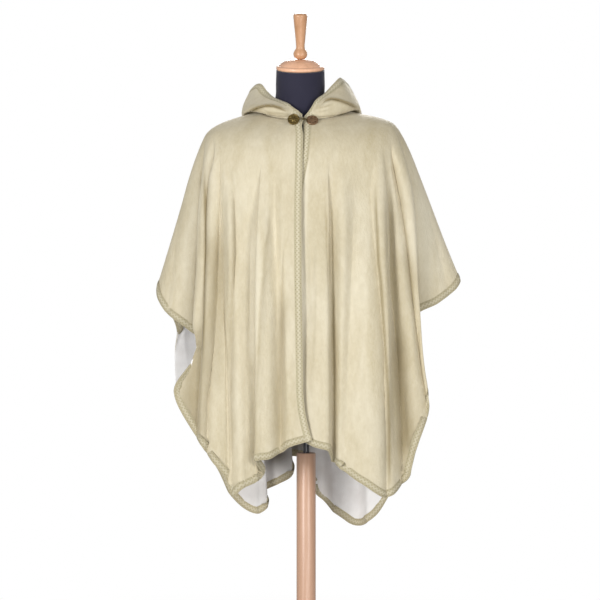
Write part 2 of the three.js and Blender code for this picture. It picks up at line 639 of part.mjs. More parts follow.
// The place on a front panel nearest to a given x and z near the neckline.
function placeOnFront(x, z, from, to) {
  let best = null;
  for (const place of steps(60, from, to)) {
    for (const down of steps(40, 0, 0.6)) {
      const point = bodyPoint(place, down);
      const distance = Math.hypot(point.x - x, point.z - z);
      if (!best || distance < best.distance) best = { distance, place, down };
    }
  }
  return best;
}

function claspDisc(name, { x, lift, upright }, from, to) {
  const { place, down } = placeOnFront(x, CLASP.z, from, to);
  const centre = bodyPoint(place, down);
  const { normal } = clothPoint(bodyPoint, place, down, LAST_RIB, 2);
  if (normal.y > 0) normal.negate();
  const { radius, thick } = CLASP;
  const profile = [[0, 0], [radius - 1, 0], [radius, 0.9], [radius, thick - 1.2], [radius - 1.6, thick],
    [radius - 4, thick - 0.5], [5.5, thick - 0.5], [4, thick + 0.7], [0, thick + 1]];
  const disc = addMesh(name, latheGeometry(profile, 20), 'brass');
  disc.position.copy(centre).addScaledVector(normal, lift);
  const facing = normal.clone().lerp(new THREE.Vector3(0, -1, 0), upright).normalize();
  disc.quaternion.setFromUnitVectors(new THREE.Vector3(0, 0, 1), facing);
  return disc;
}

// A turned solid about +Z from a profile of [radius, height] that starts and ends on the axis.
function latheGeometry(profile, segments) {
  const geometry = new THREE.LatheGeometry(profile.map(([r, z]) => new THREE.Vector2(r, z)), segments);
  geometry.rotateX(Math.PI / 2);
  geometry.deleteAttribute('normal');
  geometry.deleteAttribute('uv');
  return mergeVertices(geometry, 1e-4);
}

const discs = [
  claspDisc('clasp_left', LEFT_DISC, 0, 2),
  claspDisc('clasp_right', RIGHT_DISC, LAST_RIB - 4, LAST_RIB),
];

// The hook: a flat link from one disc's rim to the other's.
{
  const toOther = discs[1].position.clone().sub(discs[0].position).normalize();
  const facings = discs.map((disc) => new THREE.Vector3(0, 0, 1).applyQuaternion(disc.quaternion));
  const overRim = (i, toward, off) => discs[i].position.clone()
    .addScaledVector(toOther.clone().projectOnPlane(facings[i]).normalize(), toward * (CLASP.radius - HOOK.over))
    .addScaledVector(facings[i], CLASP.thick + off);
  const from = overRim(0, 1, HOOK.offLeft);
  const to = overRim(1, -1, HOOK.offRight);
  const across = to.clone().sub(from).normalize();
  const up = facings[0].clone().add(facings[1]).cross(across).normalize();
  const geometry = new THREE.BoxGeometry(from.distanceTo(to), HOOK.high, HOOK.thick);
  geometry.translate(0, 0, HOOK.thick / 2);
  const hook = addMesh('clasp_hook', geometry, 'brass');
  hook.position.copy(from).lerp(to, 0.5);
  hook.quaternion.setFromRotationMatrix(new THREE.Matrix4().makeBasis(across, up, across.clone().cross(up)));
}

// ---------------------------------------------------------------- dress form

const leanX = (z) => -(z - LEAN_BASE) * LEAN;
const NECK_X = leanX(NECK.top);

// The form's cover, ring by ring from the slanted top of the neck down to the flat bottom.
function formRings(turn) {
  const out = outward(turn);
  const side = Math.sin(radians(turn));
  const forward = Math.cos(radians(turn));
  const rings = [];
  for (const { z, more, slant } of NECK_RINGS) {
    const point = new THREE.Vector3(NECK_X, NECK.y, z).addScaledVector(out, NECK.radius + more);
    point.z += (point.y - NECK.y) * Math.tan(CAP_TILT) * slant;
    rings.push(point);
  }
  const root = necklinePoint(turn).lerp(rings.at(-1), NECK_ROOT.inward);
  root.z = necklinePoint(turn).z + NECK_ROOT.up;
  rings.push(root);
  for (const t of YOKE_RINGS) {
    const point = yokePoint(turn, t);
    const ahead = yokePoint(turn, t + 0.02).sub(yokePoint(turn, t - 0.02)).normalize();
    const across = yokePoint(turn + 1, t).sub(yokePoint(turn - 1, t)).normalize();
    const normal = across.cross(ahead).normalize();
    if (normal.z < 0) normal.negate();
    rings.push(point.addScaledVector(normal, -FORM_GAP));
  }
  for (const { z, half, front, back } of TORSO) {
    const depth = forward > 0 ? front : back;
    rings.push(new THREE.Vector3(
      leanX(z) + TORSO_X - half * power(side, 2 / TORSO_SQUARE),
      SHOULDER.y - depth * power(forward, 2 / TORSO_SQUARE),
      z,
    ));
  }
  return rings;
}

{
  const around = 32;
  const columns = steps(around, 0, 360).slice(0, -1).map(formRings);
  const rows = columns[0].length;
  const points = columns.flat();
  const at = (i, j) => (i % around) * rows + j;
  const triangles = [];
  for (let i = 0; i < around; i++) {
    for (let j = 0; j < rows - 1; j++) {
      triangles.push([at(i, j), at(i + 1, j), at(i + 1, j + 1)], [at(i, j), at(i + 1, j + 1), at(i, j + 1)]);
    }
  }
  for (const row of [0, rows - 1]) {
    const middle = new THREE.Vector3();
    columns.forEach((column) => middle.addScaledVector(column[row], 1 / around));
    points.push(middle);
    for (let i = 0; i < around; i++) {
      const next = [points.length - 1, at(i + 1, row), at(i, row)];
      triangles.push(row === 0 ? next : next.reverse());
    }
  }
  addMesh('form_bust', solidGeometry(points, triangles), 'navy');
}

// Turned cap and finial, square to the slanted top of the neck.
{
  const crown = new THREE.Group();
  crown.position.set(NECK_X, NECK.y, NECK.top);
  crown.rotation.x = CAP_TILT;
  poncho.add(crown);
  const capProfile = [[0, 0], [56, 0], [59, 2.5], [59, 8], [56, 10.5], [51, 11.5], [49, 14], [45, 17.5],
    [38, 22], [29, 25], [18, 26.5], [0, 27]];
  const cap = addMesh('form_cap', latheGeometry(capProfile, 28), 'beech');
  cap.position.z = SEAM;
  crown.add(cap);
  const finialProfile = [[0, 0], [11, 0], [15, 4], [17.3, 10], [17, 14], [14.5, 20], [11, 24.5], [10.4, 29],
    [10.8, 36], [12.6, 56], [14.6, 76], [16.4, 94], [17.2, 104], [16.6, 107.5], [13, 109.6], [0, 110.4]];
  const finial = addMesh('form_finial', latheGeometry(finialProfile, 18), 'beech');
  finial.position.z = SEAM + 27 + SEAM;
  crown.add(finial);
}

// ---------------------------------------------------------------- stand

{
  const top = FORM_BOTTOM - SEAM;
  const { radius } = ROD;
  const profile = [[0, ROD.bottom], [radius - 1, ROD.bottom], [radius, ROD.bottom + 1], [radius, top - 14],
    [radius + 22, top - 8], [radius + 24, top], [0, top]];
  addMesh('stand_rod', latheGeometry(profile, 16), 'steel');
}

// The pole, bored from the top for the rod.
{
  const { radius, bore, top, edge } = POLE;
  const boreEnd = ROD.bottom - POLE.boreDeep;
  const foot = BASE.thick + BASE.bossHeight + SEAM;
  const profile = [[0, foot], [radius, foot], [radius, top - edge], [radius - edge, top], [bore + 1, top],
    [bore, top - 1], [bore, boreEnd], [0, boreEnd]];
  addMesh('stand_pole', latheGeometry(profile, 24), 'beech');
}

{
  const { radius, thick, edge, boss, bossHeight } = BASE;
  const profile = [[0, 0], [radius - 4, 0], [radius, 4], [radius, thick - edge], [radius - 3, thick - 3],
    [radius - edge, thick], [boss + 8, thick], [boss + 2, thick + 3], [boss, thick + 8],
    [boss - 4, thick + bossHeight - 3], [boss - 9, thick + bossHeight], [0, thick + bossHeight]];
  addMesh('stand_base', latheGeometry(profile, 32), 'beech');
}

export default poncho;
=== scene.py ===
# Looks of the hooded fleece poncho on its dress form. Sizes in tables and functions are millimetres in
# the part's own frame (+Z up, -Y the front); meshes are metres.

import math

import bmesh
import bpy
import numpy as np
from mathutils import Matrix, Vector


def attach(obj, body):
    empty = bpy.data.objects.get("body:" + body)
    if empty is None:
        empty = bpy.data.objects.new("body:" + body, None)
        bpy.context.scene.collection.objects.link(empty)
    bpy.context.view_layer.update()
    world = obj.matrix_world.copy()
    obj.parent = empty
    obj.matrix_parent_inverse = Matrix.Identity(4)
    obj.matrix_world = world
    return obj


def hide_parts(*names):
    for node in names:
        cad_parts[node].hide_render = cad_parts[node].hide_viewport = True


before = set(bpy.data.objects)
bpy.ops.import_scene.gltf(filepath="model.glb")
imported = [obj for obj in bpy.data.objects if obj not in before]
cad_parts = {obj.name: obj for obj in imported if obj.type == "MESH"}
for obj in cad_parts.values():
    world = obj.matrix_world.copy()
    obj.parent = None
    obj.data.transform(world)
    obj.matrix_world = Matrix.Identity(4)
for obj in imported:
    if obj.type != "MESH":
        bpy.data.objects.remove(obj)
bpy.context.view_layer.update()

# ---- camera

CAMERA_PLACE = (-0.015, -4.2, 0.952)


def linked(data):
    """An object of the scene that shows the data under its own name."""
    item = bpy.data.objects.new(data.name, data)
    bpy.context.scene.collection.objects.link(item)
    return item


camera_data = bpy.data.cameras.new("camera")
camera_data.sensor_width = 36
camera_data.lens = 102.9
camera = linked(camera_data)
camera.location = CAMERA_PLACE
camera.rotation_euler = (math.radians(90), 0, 0)
bpy.context.scene.camera = camera

# ---- sizes of the solids

MM = 0.001
CLOTH = 2.6
SEAM = 0.3
NECKLINE = dict(x=-8, y=-4, half_width=98, half_depth=86, front=1383, back=1438)
SHOULDER = dict(x=-8, y=-4, left=237, right=224, front=134, back=132, square=2.4)
SHOULDER_Z = dict(front=1290, left=1354, right=1379, back=1302)
KNEE = dict(out=0.84, down=0.34)
OVERLAP = dict(lift=6.6, upward=0.9, start=6, end=20)
# folds_start: share of the fall over which the folds come in below the shoulders
HANG = dict(early=0.12, late=0.62, late_per_flare=0.0027, fold_high=0.7, folds_start=0.36)
LEAN = 0.0157
LEAN_BASE = 620
CAP_TILT = math.radians(15)
NECK_RADIUS = 60
NECK_TOP = 1515
FORM_GAP = CLOTH / 2 + 1.2 + 1.2
FORM_BOTTOM = 755
LEFT_SHOULDER = 19.5
RIGHT_SHOULDER = 46.5
HOOD_SEAM_UP = 1.9
HOOD_STAND = 12
HOOD_OFF_BODY = 7
HOOD_OPENS = (4, 18)

# turn round the neck, foot on the hem x, y, z, fold half way down, flare at the foot
RIBS = np.array([
    (0, 6, -154, 621, 4, 0), (8, -34, -156, 608, 5, 0), (12, -61, -147, 590, -5, 0), (15, -88, -158, 577, 4, 0),
    (19, -117, -160, 572, 9, 0), (21.5, -103, -126, 533, -9, 0), (27, -122, -128, 521, -6, 0),
    (36, -151, -148, 506, 10, 0), (44, -176, -143, 486, -4, 0), (49, -190, -132, 525, -9, 0),
    (56, -222, -138, 568, 12, 0), (63, -271, -128, 642, 9, 15), (69, -311, -122, 716, 4, 60),
    (72, -313, -122, 752, 4, 95), (75, -282, -106, 804, 6, 115), (77, -258, -62, 838, -14, 50),
    (80, -290, -46, 877, -5, 0), (85, -335, -34, 915, 3, 0), (89, -363, -8, 958, 3, 0), (92, -365, 18, 984, 0, 0),
    (96, -350, 41, 949, 0, 0), (101, -321, 64, 878, -4, 20), (107, -327, 80, 820, 2, 42), (113, -322, 92, 724, 6, 34),
    (120, -282, 102, 628, -6, 0), (129, -226, 112, 532, 8, 0), (138, -170, 104, 441, -8, 0),
    (147, -122, 112, 415, 9, 0), (151, -98, 108, 431, 4, 0), (154, -108, 138, 466, -10, 0),
    (160, -70, 134, 487, -2, 0), (166, -34, 122, 512, 8, 0), (170, -44, 154, 553, -8, 0), (177, -8, 156, 551, 4, 0),
    (184, 13, 128, 486, 6, 0), (192, 42, 142, 446, -8, 0), (203, 97, 122, 398, 8, 0), (212, 134, 130, 382, -2, 0),
    (220, 176, 112, 411, -9, 0), (229, 229, 112, 496, 9, 0), (238, 272, 100, 600, -4, 15), (247, 291, 92, 706, 6, 36),
    (254, 272, 84, 818, 0, 60), (260, 263, 74, 905, -6, 50), (264, 312, 56, 972, 0, 0), (267, 358, 30, 1000, 0, 0),
    (270, 376, 4, 1000, 0, 0), (273, 366, -14, 980, 3, 0), (278, 318, -34, 944, 2, 0), (282, 266, -54, 914, -8, 0),
    (284, 262, -66, 850, -4, 55), (286, 288, -104, 752, 12, 44), (289, 293, -118, 702, 14, 22),
    (296, 265, -120, 602, 10, 0), (302, 246, -112, 532, -14, 0), (307, 220, -122, 504, -12, 0),
    (312, 188, -148, 485, 10, 0), (322, 132, -152, 518, 6, 0), (333, 94, -144, 544, -5, 0),
    (341, 76, -148, 556, 5, 0), (347, 66, -128, 566, -9, 0), (349.5, 50, -154, 596, 5, 0), (352, 22, -148, 605, 2, 0),
    (360, -12, -143, 628, 0, 0),
], float)

# Where the left front's side falls and how much of what lies past it is brought in: z, x, share.
TUCK = np.array([
    (735, -318, 0), (765, -298, 0.3), (800, -274, 0.55), (838, -253, 0.6), (865, -262, 0.6), (890, -280, 0.3),
    (925, -300, 0),
], float)
TUCK_FRONT = 40  # how far in front of the middle it works in full
TUCK_SOFT = 20  # how gently it sets in

# turn, fold_out, fold_down, edge_out, edge_up, bulge
HOOD = np.array([
    (1, 2, -5, -3, 7, 0), (10, 6, -6, -6, 21, 1), (20, 13, -12, -9, 35, 2), (40, 24, -24, -14, 43, 4),
    (62, 38, -14, -15, 46, 8), (86, 47, 0, -8, 53, 8), (106, 56, 8, 14, 66, 6), (124, 84, 22, 56, 52, 8),
    (140, 104, 84, 100, 28, 18), (158, 110, 206, 126, 2, 24), (180, 112, 262, 140, -14, 30),
    (202, 110, 210, 122, 6, 26), (220, 102, 84, 94, 36, 18), (236, 78, 22, 38, 62, 6), (254, 50, 4, 4, 78, 3),
    (274, 42, -10, -7, 85, 1), (298, 34, -24, -12, 78, 4), (320, 24, -38, -15, 60, 5), (340, 13, -20, -10, 45, 2),
    (350, 6, -8, -5, 24, 1), (358.6, 2, -5, -3, 7, 0),
], float)

# z, half width, depth to the front, depth to the back
TORSO = [
    (1345, 203, 112, 104), (1320, 199, 120, 112), (1280, 184, 123, 116), (1220, 170, 122, 112),
    (1130, 152, 108, 102), (1050, 140, 98, 98), (960, 154, 104, 108), (860, 170, 112, 120),
    (790, 172, 112, 120), (FORM_BOTTOM, 168, 108, 116),
]
TORSO_POWER = 2 / 2.3  # 1 would make its rings ellipses

# ---- small maths


def lerp(a, b, t):
    return a + (b - a) * t


def smoothstep(value, low, high):
    t = np.clip((value - low) / (high - low), 0, 1)
    return t * t * (3 - 2 * t)


def power(value, exponent):
    return np.sign(value) * np.abs(value) ** exponent


def unit(vectors):
    return vectors / np.maximum(np.linalg.norm(vectors, axis=-1, keepdims=True), 1e-9)


def read_table(rows, knots, place):
    """The table at places between its rows: a cubic through the rows, spaced by the knots."""
    steps = np.diff(knots)[:, None]
    rates = np.diff(rows, axis=0) / steps
    share = (steps[:-1] / (steps[:-1] + steps[1:]))
    slopes = np.concatenate([rates[:1], lerp(rates[:-1], rates[1:], share), rates[-1:]])
    row = np.clip(np.floor(place).astype(int), 0, len(rows) - 2)
    t = (place - row)[..., None]
    span = steps[row]
    rise = rows[row + 1] - rows[row]
    start, end = slopes[row] * span, slopes[row + 1] * span
    a = start + end - 2 * rise
    b = 3 * rise - 2 * start - end
    return ((a * t + b) * t + start) * t + rows[row]


RIB_KNOTS = np.concatenate([[0], np.cumsum(np.sqrt(np.linalg.norm(np.diff(RIBS[:, 1:4], axis=0), axis=1)))])

# ---- surface of the body


def outward(turn):
    angle = np.radians(turn)
    return np.stack([-np.sin(angle), -np.cos(angle), np.zeros_like(angle)], -1)


def neckline_point(turn):
    angle = np.radians(turn)
    n = NECKLINE
    return np.stack([
        n["x"] - n["half_width"] * np.sin(angle),
        n["y"] - n["half_depth"] * np.cos(angle),
        lerp(n["back"], n["front"], (1 + np.cos(angle)) / 2),
    ], -1)


def shoulder_point(turn):
    side, forward = np.sin(np.radians(turn)), np.cos(np.radians(turn))
    s = SHOULDER
    depth = np.where(forward > 0, s["front"], s["back"])
    middle = lerp(SHOULDER_Z["back"], SHOULDER_Z["front"], (1 + forward) / 2)
    half = np.where(side > 0, s["left"], s["right"])
    side_z = np.where(side > 0, SHOULDER_Z["left"], SHOULDER_Z["right"])
    return np.stack([
        s["x"] - half * power(side, 2 / s["square"]),
        s["y"] - depth * power(forward, 2 / s["square"]),
        lerp(middle, side_z, np.abs(side) ** 3),
    ], -1)


def knee_point(turn):
    shares = np.array([KNEE["out"], KNEE["out"], KNEE["down"]])
    return lerp(neckline_point(turn), shoulder_point(turn), shares)


def yoke_point(turn, t):
    t = np.asarray(t)[..., None]
    neck, knee, edge = neckline_point(turn), knee_point(turn), shoulder_point(turn)
    return neck * (1 - t) ** 2 + knee * 2 * t * (1 - t) + edge * t ** 2


def overlap_lift(turn, down):
    lift = OVERLAP["lift"] * (1 - smoothstep(turn, OVERLAP["start"], OVERLAP["end"])) * (turn < 180)
    way = outward(turn)
    way[..., 2] = OVERLAP["upward"] * (1 - down)
    return way * np.asarray(lift)[..., None]


def body_point(place, down):
    """Middle of the cloth: place counts along the ribs; down is 0 to 1 over the shoulder, then to 2 at the hem."""
    place, down = np.broadcast_arrays(np.asarray(place, float), np.asarray(down, float))
    rib = read_table(RIBS, RIB_KNOTS, place)
    turn, hem, fold, flare = rib[..., 0], rib[..., 1:4], rib[..., 4:5], rib[..., 5:6]
    yoke = yoke_point(turn, np.minimum(down, 1)) + overlap_lift(turn, np.minimum(down, 1))
    edge = shoulder_point(turn) + overlap_lift(turn, np.ones_like(turn))
    length = np.linalg.norm(edge - hem, axis=-1, keepdims=True)
    early = edge + unit(shoulder_point(turn) - knee_point(turn)) * length * HANG["early"]
    level = hem * np.array([1, 1, 0])
    late = lerp(edge, hem, HANG["late"] + flare * HANG["late_per_flare"]) - unit(level) * flare
    t = np.maximum(down - 1, 0)[..., None]
    fall = (edge * (1 - t) ** 3 + early * 3 * t * (1 - t) ** 2 + late * 3 * t ** 2 * (1 - t) + hem * t ** 3
            + outward(turn) * fold * np.sin(np.pi * t ** HANG["fold_high"]) * smoothstep(t, 0, HANG["folds_start"]))
    past = np.interp(fall[..., 2], TUCK[:, 0], TUCK[:, 1]) - fall[..., 0]
    share = np.interp(fall[..., 2], TUCK[:, 0], TUCK[:, 2]) * smoothstep(-fall[..., 1], 0, TUCK_FRONT)
    fall[..., 0] += share * (past + np.hypot(past, TUCK_SOFT)) / 2
    return np.where(down[..., None] <= 1, yoke, fall)


# ---- surface of the hood


def shoulder_height(turn, out):
    neck, way = neckline_point(turn), outward(turn)
    near, far = np.zeros_like(turn), np.ones_like(turn)
    for _ in range(20):
        middle = (near + far) / 2
        inside = ((yoke_point(turn, middle) - neck) * way).sum(-1) < out
        near, far = np.where(inside, middle, near), np.where(inside, far, middle)
    return np.where(near > 0.99, -1e6, yoke_point(turn, near)[..., 2])


def catmull_rom(points, t):
    """Centripetal curve through points (n, k, 3) at shares t (n,)."""
    count = points.shape[1]
    first = 2 * points[:, :1] - points[:, 1:2]
    last = 2 * points[:, -1:] - points[:, -2:-1]
    padded = np.concatenate([first, points, last], 1)
    along = t * (count - 1)
    index = np.minimum(np.floor(along).astype(int), count - 2)
    w = (along - index)[:, None]
    row = np.arange(len(points))
    p0, p1, p2, p3 = (padded[row, index + k] for k in range(4))
    d0, d1, d2 = (np.maximum(np.linalg.norm(b - a, axis=1, keepdims=True), 1e-8) ** 0.5
                  for a, b in ((p0, p1), (p1, p2), (p2, p3)))
    t1 = ((p1 - p0) / d0 - (p2 - p0) / (d0 + d1) + (p2 - p1) / d1) * d1
    t2 = ((p2 - p1) / d1 - (p3 - p1) / (d1 + d2) + (p3 - p2) / d2) * d1
    return p1 + t1 * w + (-3 * p1 + 3 * p2 - 2 * t1 - t2) * w ** 2 + (2 * p1 - 2 * p2 + t1 + t2) * w ** 3


def hood_point(place, along):
    """Middle of the hood's cloth: place counts along the sections, along is 0 at the seam and 1 at the face edge."""
    place, along = np.broadcast_arrays(np.asarray(place, float), np.asarray(along, float))
    shape = place.shape
    place, along = place.ravel(), along.ravel()
    turn, fold_out, fold_down, edge_out, edge_up, bulge = read_table(HOOD, HOOD[:, 0], place).T
    out = outward(turn)
    lift = overlap_lift(turn, np.zeros_like(turn))
    seam = neckline_point(turn) - out * CLOTH

    def at(out_by, up):
        out_by = np.broadcast_to(out_by, turn.shape)
        point = seam + out * out_by[:, None]
        body = np.where(out_by > 0, shoulder_height(turn, out_by) + HOOD_OFF_BODY, 0)
        point[:, 2] = np.maximum(seam[:, 2] + up, body)
        return point + lift

    stand = np.minimum(HOOD_STAND, edge_up * 0.4 + 6)
    way_down = np.maximum(fold_down, 0)
    start = at(0.0, HOOD_SEAM_UP)
    fold = at(fold_out, HOOD_SEAM_UP - fold_down)
    rise = fold[:, 2] - seam[:, 2] - lift[:, 2]
    edge = at(edge_out, edge_up)
    curve = np.stack([
        start,
        at(1 + fold_out * 0.08, stand * 0.6 + HOOD_SEAM_UP),
        at(fold_out * 0.55 + way_down * 0.06, stand * 0.5 + 2 - way_down * 0.42),
        fold,
        at(lerp(fold_out, edge_out, 0.2) + bulge * 0.8, lerp(rise, edge_up, 0.28)),
        at(lerp(fold_out, edge_out, 0.65) + bulge * 0.7, lerp(rise, edge_up, 0.72)),
        edge,
    ], 1)
    band = lerp(start, edge, along[:, None])
    opened = smoothstep(fold_out, *HOOD_OPENS)[:, None]
    return lerp(band, catmull_rom(curve, along), opened).reshape(*shape, 3)


# ---- meshes


def make_object(node, ending, points, faces, materials, body="form", kinds=None, sharp=None):
    """The piece that stands for a node, from millimetre points and blocks of faces (n, 3 or 4)."""
    mesh = bpy.data.meshes.new(f"{node}_{ending}")
    polygons = [f for block in faces for f in np.asarray(block).tolist()]
    mesh.from_pydata((np.asarray(points) * MM).tolist(), [], polygons)
    for material in materials:
        mesh.materials.append(material)
    if kinds is not None:
        mesh.polygons.foreach_set("material_index", np.asarray(kinds, np.int32))
    mesh.polygons.foreach_set("use_smooth", np.ones(len(polygons), bool))
    mesh.update()
    if sharp is not None:
        mesh.set_sharp_from_angle(angle=math.radians(sharp))
    piece = linked(mesh)
    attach(piece, body)
    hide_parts(node)
    return piece


def set_values(piece, name, values):
    """Stores one number a point, which the materials read by name."""
    attribute = piece.data.attributes.new(name, "FLOAT", "POINT")
    attribute.data.foreach_set("value", values.astype(np.float32).ravel())


def grid_faces(columns, rows, offset=0, flip=False, loop=False):
    """Quads of a grid of points numbered column by column. loop joins the last row to the first."""
    i = np.arange(columns - 1)[:, None]
    j = np.arange(rows if loop else rows - 1)[None, :]
    after = (j + 1) % rows
    quad = np.stack([i * rows + j, (i + 1) * rows + j, (i + 1) * rows + after, i * rows + after], -1)
    quad = quad.reshape(-1, 4) + offset
    return quad[:, ::-1] if flip else quad


def lattice_normals(points):
    along = np.gradient(points, axis=0)
    down = np.gradient(points, axis=1)
    return unit(np.cross(along, down))


def smooth_noise(points, seed, size, waves=12):
    """Seeded noise of about -1 to 1 at points (…, 3), of the given size in mm."""
    rng = np.random.default_rng(seed)
    total = np.zeros(points.shape[:-1])
    for _ in range(waves):
        way = rng.normal(size=3)
        way *= 2 * math.pi / (size * (1 + 0.6 * rng.random()) * np.linalg.norm(way))
        total += np.sin(points @ way + rng.random() * 2 * math.pi)
    return total / math.sqrt(waves * 2)


def shell(node, lattice, materials, **values):
    """The node's cloth: a thin closed shell round a lattice of middle points, with values at each of them."""
    half = CLOTH / 2
    normals = lattice_normals(lattice)
    columns, rows = lattice.shape[:2]
    count = columns * rows
    top = grid_faces(columns, rows)
    bottom = grid_faces(columns, rows, offset=count, flip=True)
    ring = np.concatenate([
        np.arange(columns) * rows,
        (columns - 1) * rows + np.arange(1, rows),
        (np.arange(columns - 2, -1, -1)) * rows + rows - 1,
        np.arange(rows - 2, 0, -1),
    ])
    after = np.roll(ring, -1)
    rim = np.stack([ring, ring + count, after + count, after], -1)
    points = np.concatenate([lattice + normals * half, lattice - normals * half]).reshape(-1, 3)
    kinds = np.concatenate([np.zeros(len(top)), np.ones(len(bottom)), np.zeros(len(rim))])
    piece = make_object(node, "cloth", points, [top, bottom, rim], materials, kinds=kinds)
    for name, value in values.items():
        set_values(piece, name, np.tile(value.ravel(), 2))
    return piece


# ---- materials


class Nodes:
    """One node material."""

    def __init__(self, name):
        self.material = bpy.data.materials.new(name)
        self.material.use_nodes = True
        self.tree = self.material.node_tree
        self.shader = self.tree.nodes["Principled BSDF"]

    def feed(self, socket, value):
        """Links or sets one input; a colour of three numbers gets its fourth."""
        if isinstance(value, bpy.types.NodeSocket):
            self.tree.links.new(value, socket)
        else:
            is_colour = socket.type == "RGBA" and len(value) == 3
            socket.default_value = (*value, 1) if is_colour else value

    def add(self, kind, inputs=None, **settings):
        node = self.tree.nodes.new("ShaderNode" + kind)
        for key, value in settings.items():
            setattr(node, key, value)
        for key, value in (inputs or {}).items():
            self.feed(node.inputs[key], value)
        return node

    def place(self, scale=(1, 1, 1)):
        coordinates = self.add("TexCoord")
        mapping = self.add("Mapping", {"Vector": coordinates.outputs["Object"], "Scale": scale})
        return mapping.outputs["Vector"]

    def noise(self, scale, detail=3, roughness=0.5, stretch=(1, 1, 1), distortion=0.0):
        return self.add("TexNoise", {
            "Vector": self.place(stretch), "Scale": scale, "Detail": detail, "Roughness": roughness,
            "Distortion": distortion,
        }).outputs["Fac"]

    def ramp(self, factor, *stops):
        """A colour ramp; each stop is a position and a colour, or one number for a grey."""
        node = self.add("ValToRGB", {"Fac": factor})
        elements = node.color_ramp.elements
        while len(elements) < len(stops):
            elements.new(0.5)
        for element, (position, colour) in zip(elements, stops):
            element.position = position
            element.color = (*np.full(3, colour, float), 1)
        return node.outputs["Color"]

    def mix(self, factor, a, b):
        node = self.add("Mix", data_type="RGBA", clamp_factor=True)
        for index, value in ((0, factor), (6, a), (7, b)):
            self.feed(node.inputs[index], value)
        return node.outputs[2]

    def math(self, operation, a, b):
        return self.add("Math", {0: a, 1: b}, operation=operation).outputs[0]

    def sum(self, a, b, weight):
        return self.math("ADD", a, self.math("MULTIPLY", b, weight))

    def value(self, name):
        """The number that set_values stored at each point."""
        return self.add("Attribute", attribute_name=name).outputs["Fac"]

    def bump(self, height, strength, distance):
        node = self.add("Bump", {"Height": height, "Strength": strength, "Distance": distance})
        self.tree.links.new(node.outputs["Normal"], self.shader.inputs["Normal"])

    def finish(self, colour, roughness, **constants):
        for key, value in {"Base Color": colour, "Roughness": roughness, **constants}.items():
            self.feed(self.shader.inputs[key.replace("_", " ")], value)
        return self.material


def fleece_material():
    """The khaki outside: a short brushed pile with a soft sheen and faint streaks down the cloth, with painted shade
    and painted highlight along its folds.
    """
    n = Nodes("fleece_outside")
    streaks = n.noise(16, detail=4, stretch=(1, 1, 0.28), distortion=0.4)
    clouds = n.noise(5, detail=2)
    nap = n.noise(620, detail=2, roughness=0.6)
    pile = n.noise(190, detail=3, roughness=0.65, stretch=(1, 1, 0.5))
    mottle = n.noise(75, detail=3, roughness=0.6, stretch=(1, 1, 0.45), distortion=0.3)
    base = n.ramp(streaks, (0.32, (0.52, 0.45, 0.29)), (0.68, (0.68, 0.62, 0.47)))
    warm = n.ramp(clouds, (0.35, (0.53, 0.45, 0.29)), (0.7, (0.62, 0.56, 0.42)))
    colour = n.mix(0.35, base, warm)
    colour = n.mix(n.ramp(pile, (0.35, 0), (0.7, 0.3)), colour, (0.7, 0.65, 0.52))
    colour = n.mix(n.ramp(mottle, (0.35, 0), (0.72, 0.2)), colour, (0.35, 0.28, 0.145))
    # Painted shade and painted highlight: the stored values make the fleece darker (+) along its folds, creases and
    # the yoke's top, and lighter (-) on some ridges.
    painted_shade = n.value("nap")
    colour = n.mix(painted_shade, colour, (0.21, 0.155, 0.06))
    colour = n.mix(n.math("MULTIPLY", painted_shade, -1.0), colour, (0.82, 0.77, 0.62))
    n.bump(n.sum(nap, n.sum(pile, mottle, 1.5), 1.6), 0.4, 0.0014)
    return n.finish(colour, 0.62, Sheen_Weight=0.45, Sheen_Roughness=0.5, Sheen_Tint=(1, 0.93, 0.77),
                    Specular_IOR_Level=0.35)


def lining_material():
    n = Nodes("fleece_lining")
    curls = n.noise(420, detail=3, roughness=0.6)
    clouds = n.noise(40, detail=3)
    colour = n.ramp(clouds, (0.35, (0.87, 0.85, 0.83)), (0.65, (0.93, 0.915, 0.9)))
    # Painted shade: the lining goes dark brown where shade is painted on it.
    shaded = n.value("shade")
    colour = n.mix(shaded, colour, (0.06, 0.043, 0.022))
    n.bump(curls, 0.5, 0.0015)
    return n.finish(colour, 0.85, Sheen_Weight=0.25, Sheen_Roughness=0.5, Specular_IOR_Level=0.2)


def braid_material(name, darkening):
    """Plaited tape: lighter on the strands, with painted shade where they dive under each other, and darkened all over
    by the given share, which on the hem's tape is painted shade.
    """
    n = Nodes(name)
    relief = n.value("relief")
    fibres = n.noise(900, detail=2)
    patches = n.noise(30, detail=2)
    # Painted shade: dark where the plait's height is low, in the hollows between the strands.
    colour = n.ramp(relief, (0.1, (0.1, 0.075, 0.03)), (0.36, (0.42, 0.37, 0.235)), (0.9, (0.62, 0.57, 0.42)))
    colour = n.mix(n.ramp(patches, (0.35, 0), (0.7, 0.3)), colour, (0.5, 0.44, 0.3))
    # Darkened all over by the given share; on the hem's tape this is painted shade.
    colour = n.mix(darkening, colour, (0.2, 0.16, 0.08))
    n.bump(fibres, 0.5, 0.0006)
    return n.finish(colour, 0.7, Sheen_Weight=0.15, Specular_IOR_Level=0.3)


def cover_material():
    n = Nodes("form_cover")
    knit = n.noise(1500, detail=1)
    wash = n.noise(12, detail=2)
    colour = n.ramp(wash, (0.3, (0.014, 0.013, 0.03)), (0.7, (0.021, 0.02, 0.04)))
    n.bump(knit, 0.3, 0.0005)
    return n.finish(colour, 0.72, Sheen_Weight=0.25, Sheen_Roughness=0.4, Specular_IOR_Level=0.3)


